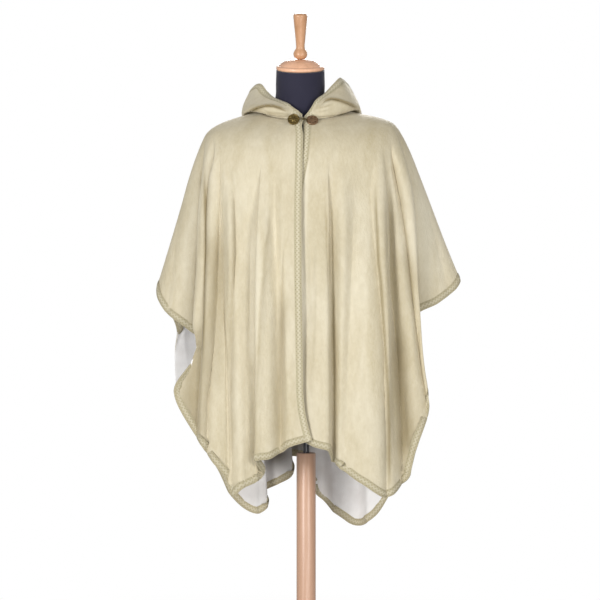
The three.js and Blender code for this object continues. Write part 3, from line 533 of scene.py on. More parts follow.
def beech_material(name, light, dark):
    n = Nodes(name)
    grain = n.noise(60, detail=6, roughness=0.6, stretch=(1, 1, 0.06), distortion=0.6)
    flecks = n.noise(420, detail=2, stretch=(1, 1, 0.1))
    colour = n.ramp(grain, (0.3, dark), (0.62, light))
    colour = n.mix(n.ramp(flecks, (0.55, 0), (0.75, 0.35)), colour, dark)
    n.bump(grain, 0.08, 0.001)
    return n.finish(colour, 0.38, Coat_Weight=0.25, Coat_Roughness=0.25)


def brass_material(name, high, low):
    n = Nodes(name)
    darkening = n.noise(260, detail=4, roughness=0.65)
    colour = n.ramp(darkening, (0.35, low), (0.65, high))
    rough = n.ramp(darkening, (0.3, 0.5), (0.7, 0.28))
    n.bump(darkening, 0.25, 0.0006)
    return n.finish(colour, rough, Metallic=0.9)


def steel_material():
    n = Nodes("dark_steel")
    scratches = n.noise(300, detail=4, stretch=(1, 1, 0.05))
    rough = n.ramp(scratches, (0.3, 0.24), (0.7, 0.42))
    return n.finish(n.ramp(scratches, (0.3, (0.07, 0.07, 0.075)), (0.7, (0.11, 0.11, 0.115))), rough, Metallic=1.0)


FLEECE = fleece_material()
LINING = lining_material()
BRAID = braid_material("plaited_tape", 0.06)
# The hem's tape is the darker copy: painted shade, where its outer side turns down and away from the light.
HEM_BRAID = braid_material("plaited_tape_hem", 0.22)
COVER = cover_material()
BEECH = beech_material("beech", (0.58, 0.36, 0.245), (0.49, 0.285, 0.18))
BEECH_CAP = beech_material("beech_cap", (0.86, 0.5, 0.32), (0.66, 0.36, 0.21))
BEECH_TOP = beech_material("beech_turned", (0.62, 0.34, 0.185), (0.46, 0.235, 0.11))
BRASS = brass_material("antique_brass", (0.24, 0.17, 0.06), (0.09, 0.062, 0.02))
COPPER = brass_material("antique_brass_warm", (0.42, 0.27, 0.16), (0.16, 0.09, 0.045))
STEEL = steel_material()

# ---- cloth of the body

DOWN = np.concatenate([np.linspace(0, 1, 26), np.linspace(1, 2, 100)[1:]])

# heights that most fold lines are given at
UPPER = (1306, 1247, 1188, 1070, 952)
MIDDLE = (1188, 1070, 952, 834, 716)

# Fold lines from one side of a panel to the other: how far the line stands out (+, a rounded ridge) or in
# (-, a sharp valley), the heights at which it starts and is full, and the z and x of its course.
LEFT_FOLDS = [
    (5, 1306, 1212, (*UPPER, 858), (-249, -265, -261, -273, -289, -303)),
    (-9, 1354, 1271, (1347, 1304, 1247, 1188, 1070, 952, 668), (-224, -223, -239, -241, -241, -249, -261)),
    (3, 1330, 1236, (*UPPER, 834, 668), (-216, -221, -221, -225, -232, -241, -247)),
    (-6, 1188, 1046, (*MIDDLE, 598), (-206, -209, -211, -218, -235, -237)),
    (4, 1306, 1188, (*UPPER, 716, 574), (-206, -199, -192, -185, -185, -199, -199)),
    (-4.5, 1306, 1188, (*UPPER, 716, 574), (-187, -183, -171, -165, -176, -183, -180)),
    (1, 1259, 1117, (*MIDDLE, 574), (-124, -133, -135, -138, -145, -143)),
    (7, 1200, 1082, (*MIDDLE, 574), (-93, -98, -108, -117, -119, -119)),
    (2, 1188, 1046, (*MIDDLE, 574), (-81, -76, -86, -95, -100, -105)),
    (-6.5, 1153, 858, (*MIDDLE, 574), (-50, -53, -62, -60, -62, -60)),
    (3, 1141, 952, (*MIDDLE, 574), (-34, -36, -39, -34, -36, -29)),
]
RIGHT_FOLDS = [
    (2, 1188, 999, (*MIDDLE, 621), (-1, -1, -3, -3, -6, -6)),
    (-3.5, 1165, 881, (*MIDDLE, 621), (13, 15, 20, 13, 9, 4)),
    (4, 1212, 1046, (*MIDDLE, 598), (23, 28, 33, 33, 32, 37)),
    (-5, 1236, 1094, (1236, *MIDDLE, 598), (35, 41, 51, 59, 63, 70, 65)),
    (5, 1236, 1046, (1236, *MIDDLE, 598), (70, 84, 113, 127, 141, 131, 141)),
    (-7, 1306, 1188, (1330, 1247, 1188, 1070, 952, 834, 598), (174, 157, 155, 166, 176, 187, 194)),
    (2, 1283, 1165, (*UPPER, 834, 598), (183, 175, 175, 180, 187, 195, 207)),
    (-9, 1236, 1046, (1247, *MIDDLE, 598), (188, 193, 199, 208, 219, 227, 231)),
    (5, 1306, 1188, (*UPPER, 834, 598), (195, 202, 212, 222, 233, 247, 254)),
    (-8, 1342, 1247, (1347, 1306, 1247, 1188, 1070, 952, 716), (204, 206, 214, 224, 240, 254, 287)),
    (5, 1330, 1212, (1306, 1247, 1188, 1070, 1011, 952), (214, 233, 247, 276, 290, 306)),
]
BACK_FOLDS = [
    (4, 1300, 1180, (1250, 900, 600), (-215, -262, -235)),
    (-7, 1290, 1130, (1250, 900, 560), (-190, -221, -190)),
    (5, 1260, 1100, (1200, 850, 520), (-150, -172, -150)),
    (-5, 1220, 1060, (1200, 850, 480), (-120, -128, -112)),
    (4, 1200, 1000, (1200, 800, 470), (-84, -82, -66)),
    (-7, 1150, 950, (1150, 800, 520), (-40, -30, -14)),
    (5, 1150, 930, (1150, 800, 520), (-5, 12, 32)),
    (-4, 1180, 1020, (1150, 800, 450), (45, 58, 72)),
    (5, 1220, 1060, (1200, 800, 430), (84, 104, 116)),
    (-8, 1250, 1080, (1220, 850, 430), (128, 150, 160)),
    (4, 1260, 1100, (1220, 850, 500), (168, 196, 206)),
    (-6, 1280, 1120, (1250, 900, 600), (198, 232, 246)),
    (4, 1300, 1150, (1250, 950, 700), (220, 262, 268)),
]
SHARPNESS = 2.1  # 1 is a straight slope from ridge to valley, more keeps the ridge round and the valley sharp
FOLD_DEPTH = 1.5  # all the fold lines' heights are multiplied by this
FOLD_REACH = 45  # from the outermost fold lines to flat cloth
HEM_ZONE = 650  # a fold line that ends above this height fades out over FOOT_FADE, others run to the hem
FOOT_FADE = 130
UNEVEN = dict(seed=7, size=150)  # soft unevenness of all the cloth
UNEVEN_HEIGHT = 0.7
COLUMN_LENGTH, COLUMN_TURN = 45, 0.8  # mm and radians of turning along the hem that weigh the same

# Bands of painted shade (+) and painted highlight (-) on the fronts' fleece along its folds: how much darker or
# lighter, half width in mm, z and x.
SHADE_AND_HIGHLIGHT_BANDS = [
    # broad bands of painted shade and painted highlight
    (0.35, 22, (1100, 1000, 905, 810, 716, 645), (-236, -224, -225, -237, -251, -261)),
    (0.2, 12, (1090, 1000, 900, 810, 745), (-205, -206, -204, -207, -212)),
    (0.5, 26, (870, 810, 740, 690, 640), (-262, -265, -279, -284, -262)),
    (0.45, 11, (940, 850, 716, 620), (-55, -60, -65, -63)),
    (0.12, 9, (1130, 1000, 835, 716, 580), (46, 58, 65, 70, 68)),
    (0.45, 17, (1180, 1120, 1047, 929, 810, 716, 645, 590), (195, 200, 205, 216, 222, 229, 233, 228)),
    (0.5, 24, (860, 780, 716, 645, 600), (222, 222, 228, 240, 236)),
    (0.4, 14, (1060, 1000, 960), (240, 250, 246)),
    (0.45, 13, (700, 640, 560), (192, 194, 194)),
    (0.3, 12, (1200, 1100, 1030), (-236, -258, -262)),
    (-0.35, 11, (1150, 1090, 1040), (-256, -260, -256)),
    (-0.3, 22, (1100, 1000, 850), (-128, -122, -120)),
    (-0.5, 6, (1280, 1188, 1100, 900, 725, 660), (1, -4, -6, -10, -11, -4)),
    (-0.38, 20, (1210, 1097, 1000), (282, 285, 296)),
    (-0.25, 11, (1200, 1097, 1000), (-264, -292, -298)),
    (-0.2, 10, (1340, 1300), (-215, -232)),
    # narrow lines of painted shadow, where a fold's edge lies on the cloth behind it
    (0.8, 3.5, (1230, 1094, 1023, 905, 850), (-243, -240, -241, -243, -245)),
    (0.3, 6.0, (1188, 1046, 952, 834, 716, 609), (-172, -172, -176, -180, -180, -177)),
    (0.3, 3.5, (1120, 1075, 1007, 940, 848, 678, 588), (-88, -98, -102, -109, -112, -119, -118)),
    (0.7, 3.2, (1188, 1117, 1041, 1007, 928, 857, 786, 716, 645, 527),
     (165, 169, 172, 177, 182, 186.5, 191, 194, 196, 196)),
    (0.5, 3.0, (1174, 1098, 1030, 973, 928), (229, 240, 247, 254, 260)),
    (0.2, 4.0, (1166, 1086, 1018, 940, 850, 767, 655, 565), (44, 51, 55, 64, 64, 69, 69, 64)),
    (0.2, 4.0, (1075, 961, 850, 746), (19, 21, 19, 12)),
]


def course_at(z, zs, xs):
    """The x of a line at the heights z; its own heights zs go down."""
    return np.interp(z, zs[::-1], xs[::-1])


def painted_shade_and_highlight(points):
    """Painted shade (+) or painted highlight (-) on the fleece at each point."""
    x, z = points[..., 0], points[..., 2]
    # Painted shade: the top of the yoke, above about 1280 mm, is painted darker.
    light = 1 - 0.16 * smoothstep(z, 1280, 1360)
    lighter = np.zeros_like(x)
    for strength, half, zs, xs in SHADE_AND_HIGHLIGHT_BANDS:
        ends = smoothstep(z, zs[-1] - 60, zs[-1] + 40) * (1 - smoothstep(z, zs[0] - 40, zs[0] + 60))
        band = np.exp(-((x - course_at(z, zs, xs)) / half) ** 2) * ends
        if strength > 0:
            light *= 1 - strength * band
        else:
            lighter = np.maximum(lighter, -strength * band)
    return 1 - light - lighter


# Painted shade on the back's lining, where it lies in shadow inside the poncho: how dark, the middle's x and z, half
# widths along x and z.
LINING_SHADE_PATCHES = [
    (0.95, -75, 565, 55, 48), (0.8, -30, 600, 60, 50), (0.42, -128, 470, 60, 60), (0.25, 40, 560, 50, 60),
    (0.26, 110, 470, 110, 90),
]


def lining_shade(points):
    """How much shade is painted on the lining at each point, round the stand and in the left corner."""
    x, z = points[..., 0], points[..., 2]
    shade = np.zeros_like(x)
    for dark, x0, z0, half_x, half_z in LINING_SHADE_PATCHES:
        shade = np.maximum(shade, dark * np.exp(-((x - x0) / half_x) ** 2 - ((z - z0) / half_z) ** 2))
    return shade


def fold_relief(points, folds):
    """How far each point of a panel stands out, from the fold lines at its height."""
    x, z = points[..., 0], points[..., 2]
    courses, heights = [], []
    for height, starts, full, zs, xs in folds:
        courses.append(course_at(z, zs, xs))
        foot = smoothstep(z, zs[-1] - FOOT_FADE, zs[-1]) if zs[-1] > HEM_ZONE else 1
        heights.append(FOLD_DEPTH * height * smoothstep(-z, -starts, -full) * foot)
    courses = [courses[0] - FOLD_REACH, *courses, courses[-1] + FOLD_REACH]
    heights = [0 * x, *heights, 0 * x]
    signs = [0, *[1 if fold[0] > 0 else -1 for fold in folds], 0]
    result = np.zeros_like(x)
    for k in range(len(courses) - 1):
        width = courses[k + 1] - courses[k]
        t = (x - courses[k]) / np.where(width == 0, 1e-9, width)
        here = (t >= 0) & (t < 1)
        t = np.clip(t, 0, 1)
        if signs[k] < 0 or signs[k + 1] > 0:
            share = 1 - (1 - t) ** SHARPNESS
        else:
            share = t ** SHARPNESS
        result = np.where(here, lerp(heights[k], heights[k + 1], share), result)
    return result


def spread_places(start, end, count):
    """Places between two ribs, closer together where the hem turns sharply."""
    samples = np.linspace(start, end, 1200)
    hem = body_point(samples, 2.0)
    near = body_point(samples, 1.98)
    normals = unit(np.cross(np.gradient(hem, axis=0), hem - near))
    length = np.linalg.norm(np.diff(hem, axis=0), axis=1)
    turned = np.arccos(np.clip((normals[1:] * normals[:-1]).sum(-1), -1, 1))
    weights = np.concatenate([[0], np.cumsum(length / COLUMN_LENGTH + turned / COLUMN_TURN)])
    return np.interp(np.linspace(0, weights[-1], count), weights, samples)


# Heights and sideways shifts of the two front edges: the left one runs straight and swings out at its
# foot, the right one lies under it, and both part a little under the hook.
LEFT_EDGE = ((1400, 1381, 1367, 1345, 1250, 1188, 1100, 1000, 890, 760, 725, 690, 653, 621),
             (0, 0, -3, 0, -2, -5, -7, -9, -10, -11, -11, -8, -1, 7))
RIGHT_EDGE = ((1400, 1381, 1367, 1345, 1290, 1250, 1200, 1000, 760, 690, 621),
              (0, 0, 2, 1, -4, -12, -20, -26, -27, -22, -10))


def edge_shift(points, places, corner, table, behind=0):
    """Shifts the cloth near the edge sideways by the table, and back where it lies under the other front."""
    near = (1 - smoothstep(np.abs(places - corner), 0.15, 1.5))[:, None]
    shift = course_at(points[..., 2], *table)
    points[..., 0] += shift * near
    points[..., 1] += behind * smoothstep(-shift, 2, 12) * near


def body_lattice(start, end, count, folds, side):
    """Middle of a panel's cloth between two ribs, with its folds; side is -1 for a front and 1 for the back."""
    places = spread_places(start, end, count)
    lattice = body_point(places[:, None], DOWN[None, :])
    normals = lattice_normals(lattice)
    out = fold_relief(lattice, folds) * np.clip(side * normals[..., 1], 0, 1)
    out += smooth_noise(lattice, **UNEVEN) * UNEVEN_HEIGHT
    lattice = lattice + normals * out[..., None]
    if start == 0:
        edge_shift(lattice, places, 0, LEFT_EDGE)
    if end == len(RIBS) - 1:
        edge_shift(lattice, places, end, RIGHT_EDGE, behind=1.5)
    for end_column, beside, is_seam in ((0, 1, start > 0), (-1, -2, end < len(RIBS) - 1)):
        if is_seam:
            lattice[end_column] += unit(lattice[beside] - lattice[end_column]) * SEAM / 2
    return lattice


PANELS = {
    "front_left": body_lattice(0, LEFT_SHOULDER, 330, LEFT_FOLDS, -1),
    "back": body_lattice(LEFT_SHOULDER, RIGHT_SHOULDER, 370, BACK_FOLDS, 1),
    "front_right": body_lattice(RIGHT_SHOULDER, len(RIBS) - 1, 330, RIGHT_FOLDS, -1),
}
# The fronts' forward faces get their painted shade and painted highlight, the back's lining its painted shade.
for panel, points in PANELS.items():
    values = {"nap": painted_shade_and_highlight(points) * np.clip(-lattice_normals(points)[..., 1] * 3, 0, 1)}
    if panel == "back":
        values["shade"] = lining_shade(points)
    shell(panel, points, [FLEECE, LINING], **values)

# Creases under the hood's two rolls and in its stand: depth, half width, how dark the painted shade in the crease is,
# and the x and z.
HOOD_CREASES = [
    (4.6, 4.0, 1.0, (-162, -143, -118, -98, -80, -60, -46), (1398, 1407, 1415, 1419, 1418, 1411, 1404)),
    (1.2, 3.0, 0.3, (-104, -86, -62, -42), (1411, 1402, 1400, 1399)),
    (4.6, 4.0, 1.0, (36, 46, 60, 80, 98, 126), (1421, 1431, 1435, 1432, 1427, 1419)),
    (1.2, 3.0, 0.35, (22, 38, 54, 66), (1412, 1414, 1419, 1424)),
    (0.8, 2.6, 0.25, (24, 40, 60), (1403, 1405, 1410)),
]
LIP = dict(above=11, below=4.5)  # distances over which the cloth beside a crease lies back


def hood_creases(points):
    """How far the hood's front stands out beside its creases, and how much shade is painted into them."""
    x, y, z = points[..., 0], points[..., 1], points[..., 2]
    front = 1 - smoothstep(y, -10, 15)
    out, shade = np.zeros_like(x), np.zeros_like(x)
    for depth, half, dark, xs, zs in HOOD_CREASES:
        above = z - np.interp(x, xs, zs)
        ends = smoothstep(x, xs[0] - 6, xs[0] + 18) * (1 - smoothstep(x, xs[-1] - 18, xs[-1] + 6)) * front
        lip = np.where(above > 0, np.exp(-above / LIP["above"]), -np.exp(above / LIP["below"]))
        out += depth * lip * ends
        shade = np.maximum(shade, dark * np.exp(-((above + 1.0) / half) ** 2) * ends)
    return out, shade


HOOD_GRID = (260, 110)  # points round the neck, points from the seam to the face edge
hood_lattice = hood_point(np.linspace(0, len(HOOD) - 1, HOOD_GRID[0])[:, None],
                          np.linspace(0, 1, HOOD_GRID[1])[None, :])
hood_out, hood_painted_shade = hood_creases(hood_lattice)
hood_lattice[..., 1] -= hood_out
shell("hood", hood_lattice, [LINING, FLEECE], nap=hood_painted_shade)

# ---- plaited bindings

PLAIT = dict(period=29.0, wave=4.3, strand=3.1, relief=1.4)
TAPE = dict(width=17.5, inner=1.35, border=1.5, outer=2.2, past=1.0, step=1.6, shrinks=0.66)


def plait_height(along, across):
    """Height, 0 to 1, of a three-strand plait; along and across are mm, across from the tape's middle."""
    height = np.zeros(np.broadcast(along, across).shape)
    for k in range(3):
        phase = 2 * math.pi * (along / PLAIT["period"] + k / 3)
        centre = PLAIT["wave"] * np.sin(phase)
        level = 0.5 + 0.28 * np.cos(2 * phase)
        body = np.sqrt(np.clip(1 - ((across - centre) / PLAIT["strand"]) ** 2, 0, 1))
        height = np.maximum(height, body * level * (body > 0) + 0.22 * body)
    return height


def resampled(line, step):
    """Shares and lengths for even steps along a line of points."""
    lengths = np.concatenate([[0], np.cumsum(np.linalg.norm(np.diff(line, axis=0), axis=1))])
    count = max(int(lengths[-1] / step), 4)
    places = np.linspace(0, lengths[-1], count)
    return np.interp(places, lengths, np.arange(len(line))), places


def at_shares(rows, shares):
    """The rows, read between them at shares that count along the rows."""
    low = np.clip(np.floor(shares).astype(int), 0, len(rows) - 2)
    part = (shares - low)[:, None]
    return lerp(rows[low], rows[low + 1], part)


def tape_size(edge):
    """1, but small where a hem rolls under: behind the right front's last fold and down the back's left side."""
    x, y, z = edge.T
    right = smoothstep(x, 245, 258) * (1 - smoothstep(y, -55, -40)) * smoothstep(z, 698, 712)
    left = smoothstep(-x, 270, 285) * smoothstep(y, 20, 40) * smoothstep(z, 700, 730)
    return 1 - TAPE["shrinks"] * np.maximum(right, left) * (1 - smoothstep(z, 862, 880))


def binding(node, edge, inward, normals, material):
    """A plaited tape folded over an edge. edge, inward and normals are rows of points and unit vectors."""
    shares, along = resampled(edge, TAPE["step"])
    edge, inward, normals = (at_shares(rows, shares) for rows in (edge, inward, normals))
    inward, normals = unit(inward), unit(normals)
    width = TAPE["width"]
    depth = width - np.linspace(0, 1, 13) * width
    round_edge = np.linspace(90, -90, 7)[1:-1]
    highs = lerp(TAPE["border"], TAPE["outer"], smoothstep(width - depth, 0, 3))
    path = [(d, h, 1, 0) for d, h in zip(depth, highs)]
    path += [(0, 0, math.sin(math.radians(a)), math.cos(math.radians(a))) for a in round_edge]
    path += [(d, -h, -1, 0) for d, h in zip(depth[::-1], highs[::-1])]
    ring, relief = [], []
    for deep, high, up, out in path:
        if high == 0:
            middle = edge + normals * up * TAPE["outer"] - inward * out * TAPE["past"]
            from_edge = 0.0
        else:
            middle = edge + normals * high + inward * deep
            from_edge = deep
        height = plait_height(along, from_edge - width / 2)
        fade = np.clip(1.15 - abs(from_edge / width - 0.5) * 0.6, 0, 1)
        way = normals * up - inward * out
        selvage = smoothstep(abs(from_edge - width / 2), width * 0.33, width * 0.42)
        raised = lerp(height * fade - 0.35, 0.1, smoothstep(from_edge, width * 0.82, width * 0.94))
        ring.append(middle + way * (raised * PLAIT["relief"])[:, None])
        relief.append(lerp(height, 0.5, selvage))
    inner = TAPE["inner"]
    for deep, high in ((width, -inner), (0.4, -inner), (0.4, inner), (width, inner)):
        ring.append(edge + normals * high + inward * deep)
        relief.append(np.full(len(edge), 0.4))
    points = lerp(edge[:, None], np.stack(ring, 1), tape_size(edge)[:, None, None])
    columns, rows = points.shape[:2]
    caps = [list(range(rows)), list(range((columns - 1) * rows, columns * rows))[::-1]]
    piece = make_object(node, "braid", points.reshape(-1, 3), [grid_faces(columns, rows, loop=True), caps],
                        [material], sharp=60)
    # The plait's heights, from which the tape's material paints shade into the hollows between the strands.
    set_values(piece, "relief", np.stack(relief, 1))
    return piece


def edge_frames(lattice, kind):
    """Edge points, inward directions and normals along one edge of a lattice."""
    normals = lattice_normals(lattice)
    if kind == "hem":
        lattice, normals = lattice.swapaxes(0, 1)[::-1], normals.swapaxes(0, 1)[::-1]
    elif kind == "last":
        lattice, normals = lattice[::-1], normals[::-1]
    edge, normal = lattice[0], normals[0]
    tangent = unit(np.gradient(edge, axis=0))
    inward = lattice[2] - edge
    inward = unit(inward - tangent * (inward * tangent).sum(-1, keepdims=True))
    normal = unit(normal - tangent * (normal * tangent).sum(-1, keepdims=True))
    return edge, inward, normal


for name, lattice, kind in (
    ("binding_front_left", PANELS["front_left"], "first"),
    ("binding_front_right", PANELS["front_right"], "last"),
    ("binding_hem_left", PANELS["front_left"], "hem"),
    ("binding_hem_back", PANELS["back"], "hem"),
    ("binding_hem_right", PANELS["front_right"], "hem"),
    ("binding_hood", hood_lattice, "hem"),
):
    binding(name, *edge_frames(lattice, kind), HEM_BRAID if "hem" in name else BRAID)

# ---- clasp


# radius and height, from the middle of the back round the rim to the middle of the face
DISC = [(0, 0), (12.9, 0), (14.1, 0.5), (14.4, 1.3), (14.3, 2.3), (13.6, 3.2), (12.6, 3.4), (11.8, 3.0), (11.0, 2.6),
        (10.2, 2.7), (9.4, 2.7), (8.4, 2.75), (7.2, 2.8), (6.2, 2.9), (5.4, 3.0), (4.6, 3.6), (3.2, 4.1), (1.6, 4.3),
        (0.01, 4.35)]
PETALS = dict(count=8, depth=0.35, inner=(5.4, 7.5), outer=(9.6, 11), above=2.4)
WIRE = 0.85


def solid_points(node):
    return np.array([v.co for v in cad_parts[node].data.vertices]) / MM


def clasp_disc(node, material):
    """A domed disc with petals in low relief, laid on the middle of its solid's back face."""
    co = solid_points(node)
    centre = (co.min(0) + co.max(0)) / 2
    _, _, axes = np.linalg.svd(co - co.mean(0))
    facing = axes[2] * (-1 if axes[2][1] > 0 else 1)
    heights = (co - centre) @ facing
    back = centre + facing * heights.min()
    radial = (co - back) - np.outer((co - back) @ facing, facing)
    back = back + radial[heights < heights.min() + 0.1].mean(0)
    across = unit(np.cross([0, 0, 1], facing))
    up = np.cross(facing, across)
    angles = np.radians(np.arange(0, 360, 5))
    points = []
    for angle in angles:
        way = across * math.cos(angle) + up * math.sin(angle)
        for r, h in DISC:
            inside = smoothstep(r, *PETALS["inner"]) * (1 - smoothstep(r, *PETALS["outer"])) * (h > PETALS["above"])
            points.append(back + way * r + facing * (h + PETALS["depth"] * math.cos(angle * PETALS["count"]) * inside))
    faces = grid_faces(len(angles) + 1, len(DISC)) % len(points)
    make_object(node, "disc", points, [faces], [material], sharp=50)


def wire_ring(path, radius, sides=12):
    """Points and faces of a closed round wire along a path."""
    path = np.asarray(path, float)
    tangent = unit(np.roll(path, -1, 0) - np.roll(path, 1, 0))
    start = np.array([0, 0, 1.0]) if abs(tangent[0][2]) < 0.9 else np.array([1.0, 0, 0])
    first = unit(np.cross(tangent, start))
    second = np.cross(tangent, first)
    angle = np.linspace(0, 2 * math.pi, sides, endpoint=False)
    ring = (path[:, None] + first[:, None] * np.cos(angle)[:, None] * radius
            + second[:, None] * np.sin(angle)[:, None] * radius)
    return ring.reshape(-1, 3), grid_faces(len(path) + 1, sides, loop=True) % (len(path) * sides)


clasp_disc("clasp_left", BRASS)
clasp_disc("clasp_right", COPPER)

hook = solid_points("clasp_hook")
hook_centre = hook.mean(0)
_, _, hook_axes = np.linalg.svd(hook - hook_centre)
hook_half = np.abs((hook - hook_centre) @ hook_axes.T).max(0)
reach, width = hook_half[:2] - WIRE
loop = [hook_centre + hook_axes[0] * (np.sign(math.cos(a)) * (reach - width) + width * math.cos(a))
        + hook_axes[1] * width * math.sin(a) for a in np.linspace(0, 2 * math.pi, 40, endpoint=False)]
loop_points, loop_faces = wire_ring(loop, WIRE)
make_object("clasp_hook", "link", loop_points, [loop_faces], [BRASS])

# ---- dress form and stand


def lean_x(z):
    return -(z - LEAN_BASE) * LEAN


def form_rings(turn):
    """The form's cover as rings of points from the slanted top of the neck to the bottom."""
    out = outward(turn)
    side, forward = np.sin(np.radians(turn)), np.cos(np.radians(turn))
    rings = []
    for z, more, slant in ((NECK_TOP, -1, 1), (1480, 0, 0.5), (1450, 1, 0)):
        point = np.array([lean_x(NECK_TOP), 0, z]) + out * (NECK_RADIUS + more)
        point[:, 2] += point[:, 1] * math.tan(CAP_TILT) * slant
        rings.append(point)
    root = lerp(neckline_point(turn), rings[-1], 0.55)
    root[:, 2] = neckline_point(turn)[:, 2] + 1
    rings.append(root)
    for t in (0.06, 0.25, 0.45, 0.62):
        shares = np.full_like(turn, t)
        ahead = unit(yoke_point(turn, shares + 0.02) - yoke_point(turn, shares - 0.02))
        across = unit(yoke_point(turn + 1, shares) - yoke_point(turn - 1, shares))
        normal = unit(np.cross(across, ahead))
        normal *= np.where(normal[:, 2:] < 0, -1, 1)
        rings.append(yoke_point(turn, shares) - normal * FORM_GAP)
    for z, half, front, back in TORSO:
        depth = np.where(forward > 0, front, back)
        rings.append(np.stack([lean_x(z) + 4 - half * power(side, TORSO_POWER),
                               SHOULDER["y"] - depth * power(forward, TORSO_POWER),
                               np.full_like(turn, z)], -1))
    return np.stack(rings, 1)


turns = np.arange(0, 360, 3.0)
rings = form_rings(turns)
shares = np.linspace(0, 1, 150)
dense = np.stack([catmull_rom(rings, np.full(len(turns), s)) for s in shares], 1)
columns, rows = dense.shape[:2]
faces = grid_faces(columns + 1, rows) % (columns * rows)
ends = [[i * rows for i in range(columns)][::-1], [i * rows + rows - 1 for i in range(columns)]]
make_object("form_bust", "cover", dense.reshape(-1, 3), [faces, ends], [COVER], sharp=60)


def turned(node, profile, material, slot, body="form", place=None, segments=72):
    """A lathe piece from [radius, height] pairs; place turns and moves its points."""
    angles = np.linspace(0, 2 * math.pi, segments, endpoint=False)
    radii, heights = np.array(profile, float).T
    points = np.stack([radii[None] * np.cos(angles)[:, None], radii[None] * np.sin(angles)[:, None],
                       np.broadcast_to(heights, (segments, len(profile)))], -1).reshape(-1, 3)
    faces = grid_faces(segments + 1, len(profile)) % len(points)
    if place is not None:
        points = place(points)
    make_object(node, "turned", points, [faces], [material], body, sharp=40)


def rounded(profile, step):
    """The profile with each corner between its pairs eased by a small arc."""
    profile = np.array(profile, float)
    result = [profile[0]]
    for before, corner, after in zip(profile, profile[1:], profile[2:]):
        reach = min(step, np.linalg.norm(corner - before) / 2.2, np.linalg.norm(after - corner) / 2.2)
        start = corner + unit(before - corner) * reach
        end = corner + unit(after - corner) * reach
        for t in (0, 0.33, 0.67, 1):
            result.append(start * (1 - t) ** 2 + corner * 2 * t * (1 - t) + end * t ** 2)
    result.append(profile[-1])
    return result


def on_neck(points):
    """From a turned piece's own frame onto the slanted top of the neck."""
    c, s = math.cos(CAP_TILT), math.sin(CAP_TILT)
    x, y, z = points.T
    return np.stack([x + lean_x(NECK_TOP), y * c - z * s, y * s + z * c + NECK_TOP], -1)


CAP = [(0.01, 0.3), (56, 0.3), (59, 2.8), (59, 8), (56.5, 10.3), (52, 11.2), (50, 13.6), (45, 17.5), (38, 22),
       (29, 25), (18, 26.6), (0.01, 27.2)]
FINIAL = [(0.01, 27.6), (11, 27.6), (15, 31.6), (17.3, 37.6), (17, 41.6), (14.5, 47.6), (11, 52.1), (10.4, 56.6),
          (10.8, 63.6), (12.6, 83.6), (14.6, 103.6), (16.4, 121.6), (17.2, 131.6), (16.6, 135.1), (13, 137.2),
          (0.01, 138)]
ROD = [(0.01, 330), (6.2, 330), (7.2, 331), (7.2, 740.7), (29.2, 746.7), (31.2, 749), (31.2, 754.7), (0.01, 754.7)]
POLE = [(0.01, 48.3), (23.5, 48.3), (23.5, 576), (22.9, 577.4), (21.5, 578), (8.3, 578), (7.28, 577), (7.28, 180),
        (0.01, 180)]
BASE = [(0.01, 0), (191, 0), (195, 4), (195, 20), (192, 27), (185, 30), (54, 30), (48, 33), (46, 38), (42, 45),
        (37, 48), (0.01, 48)]
turned("form_cap", rounded(CAP, 2.5), BEECH_CAP, "beech", place=on_neck, segments=96)
turned("form_finial", rounded(FINIAL, 4), BEECH_TOP, "beech", place=on_neck)
turned("stand_rod", ROD, STEEL, "steel", "rod")
turned("stand_pole", POLE, BEECH, "beech", "stand")
turned("stand_base", rounded(BASE, 4), BEECH, "beech", "stand", segments=128)

# ---- floor, light


def area_light(name, place, target, size, power_watts):
    data = bpy.data.lights.new(name, "AREA")
    data.shape = "RECTANGLE"
    data.size, data.size_y = size
    data.energy = power_watts
    light = linked(data)
    light.location = place
    light.rotation_euler = (Vector(target) - Vector(place)).to_track_quat("-Z", "Y").to_euler()


def stage_object(mesh, material, hidden_from):
    """A piece of the surroundings, which the named kinds of ray pass through."""
    mesh.materials.append(material)
    piece = linked(mesh)
    for ray in hidden_from:
        setattr(piece, "visible_" + ray, False)


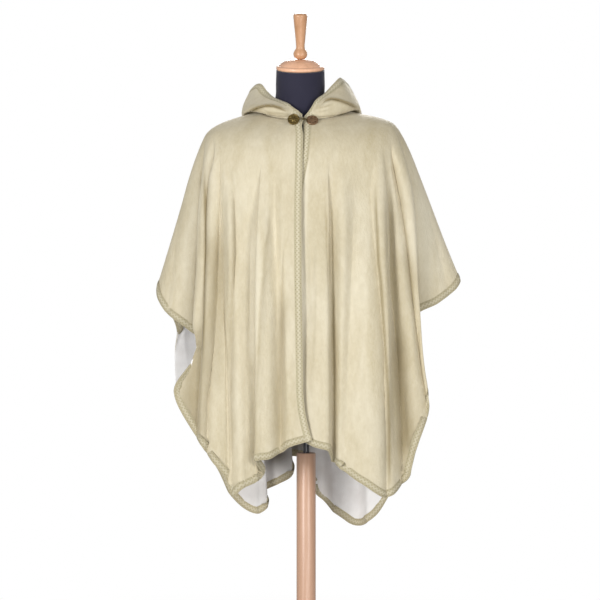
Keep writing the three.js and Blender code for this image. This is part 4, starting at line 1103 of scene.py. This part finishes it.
world = bpy.data.worlds.new("studio")
world.use_nodes = True
world.node_tree.nodes["Background"].inputs["Color"].default_value = (1, 1, 1, 1)
world.node_tree.nodes["Background"].inputs["Strength"].default_value = 0.38
bpy.context.scene.world = world
bpy.context.scene.view_settings.view_transform = "Standard"

area_light("key", (-2.1, -3.2, 1.3), (0, 0, 1.0), (1.1, 1.6), 90)
area_light("fill", (1.9, -3.1, 1.2), (0, 0, 0.9), (1.1, 1.6), 50)
area_light("low", (0.3, -2.6, 0.15), (0.1, 0, 0.55), (1.0, 0.4), 11)
area_light("back", (0.4, 3.0, 2.6), (0, 0, 1.0), (1.6, 1.2), 75)

# A white backdrop all round that lights nothing: the world alone is the soft light from every side.
backdrop = bpy.data.meshes.new("backdrop")
ball = bmesh.new()
bmesh.ops.create_uvsphere(ball, u_segments=48, v_segments=24, radius=9)
ball.to_mesh(backdrop)
ball.free()
white_all_round = Nodes("backdrop").finish((0, 0, 0), 1.0, Specular_IOR_Level=0.0, Emission_Color=(1, 1, 1),
                                           Emission_Strength=1.0)
stage_object(backdrop, white_all_round, ("diffuse", "glossy", "transmission", "volume_scatter", "shadow"))

# A pale floor that turns into the white backdrop away from the object.
FLOOR = dict(radius=8, z=-0.0005, corners=96, fades_from=0.25, fades_to=1.5)
floor = bpy.data.meshes.new("floor")
around = np.linspace(0, 2 * math.pi, FLOOR["corners"], endpoint=False)
floor.from_pydata([(FLOOR["radius"] * math.cos(a), FLOOR["radius"] * math.sin(a), FLOOR["z"]) for a in around], [],
                  [list(range(FLOOR["corners"]))])
n = Nodes("floor")
far = n.add("VectorMath", {0: n.place()}, operation="LENGTH").outputs["Value"]
white = n.add("MapRange", {"Value": far, "From Min": FLOOR["fades_from"], "From Max": FLOOR["fades_to"]},
              interpolation_type="SMOOTHSTEP").outputs["Result"]
n.tree.links.new(white, n.shader.inputs["Emission Strength"])
pale = n.mix(white, n.ramp(n.noise(3), (0.3, 0.84), (0.7, 0.88)), (0, 0, 0))
stage_object(floor, n.finish(pale, 0.9, Specular_IOR_Level=0.0, Emission_Color=(1, 1, 1)), ("diffuse", "glossy"))
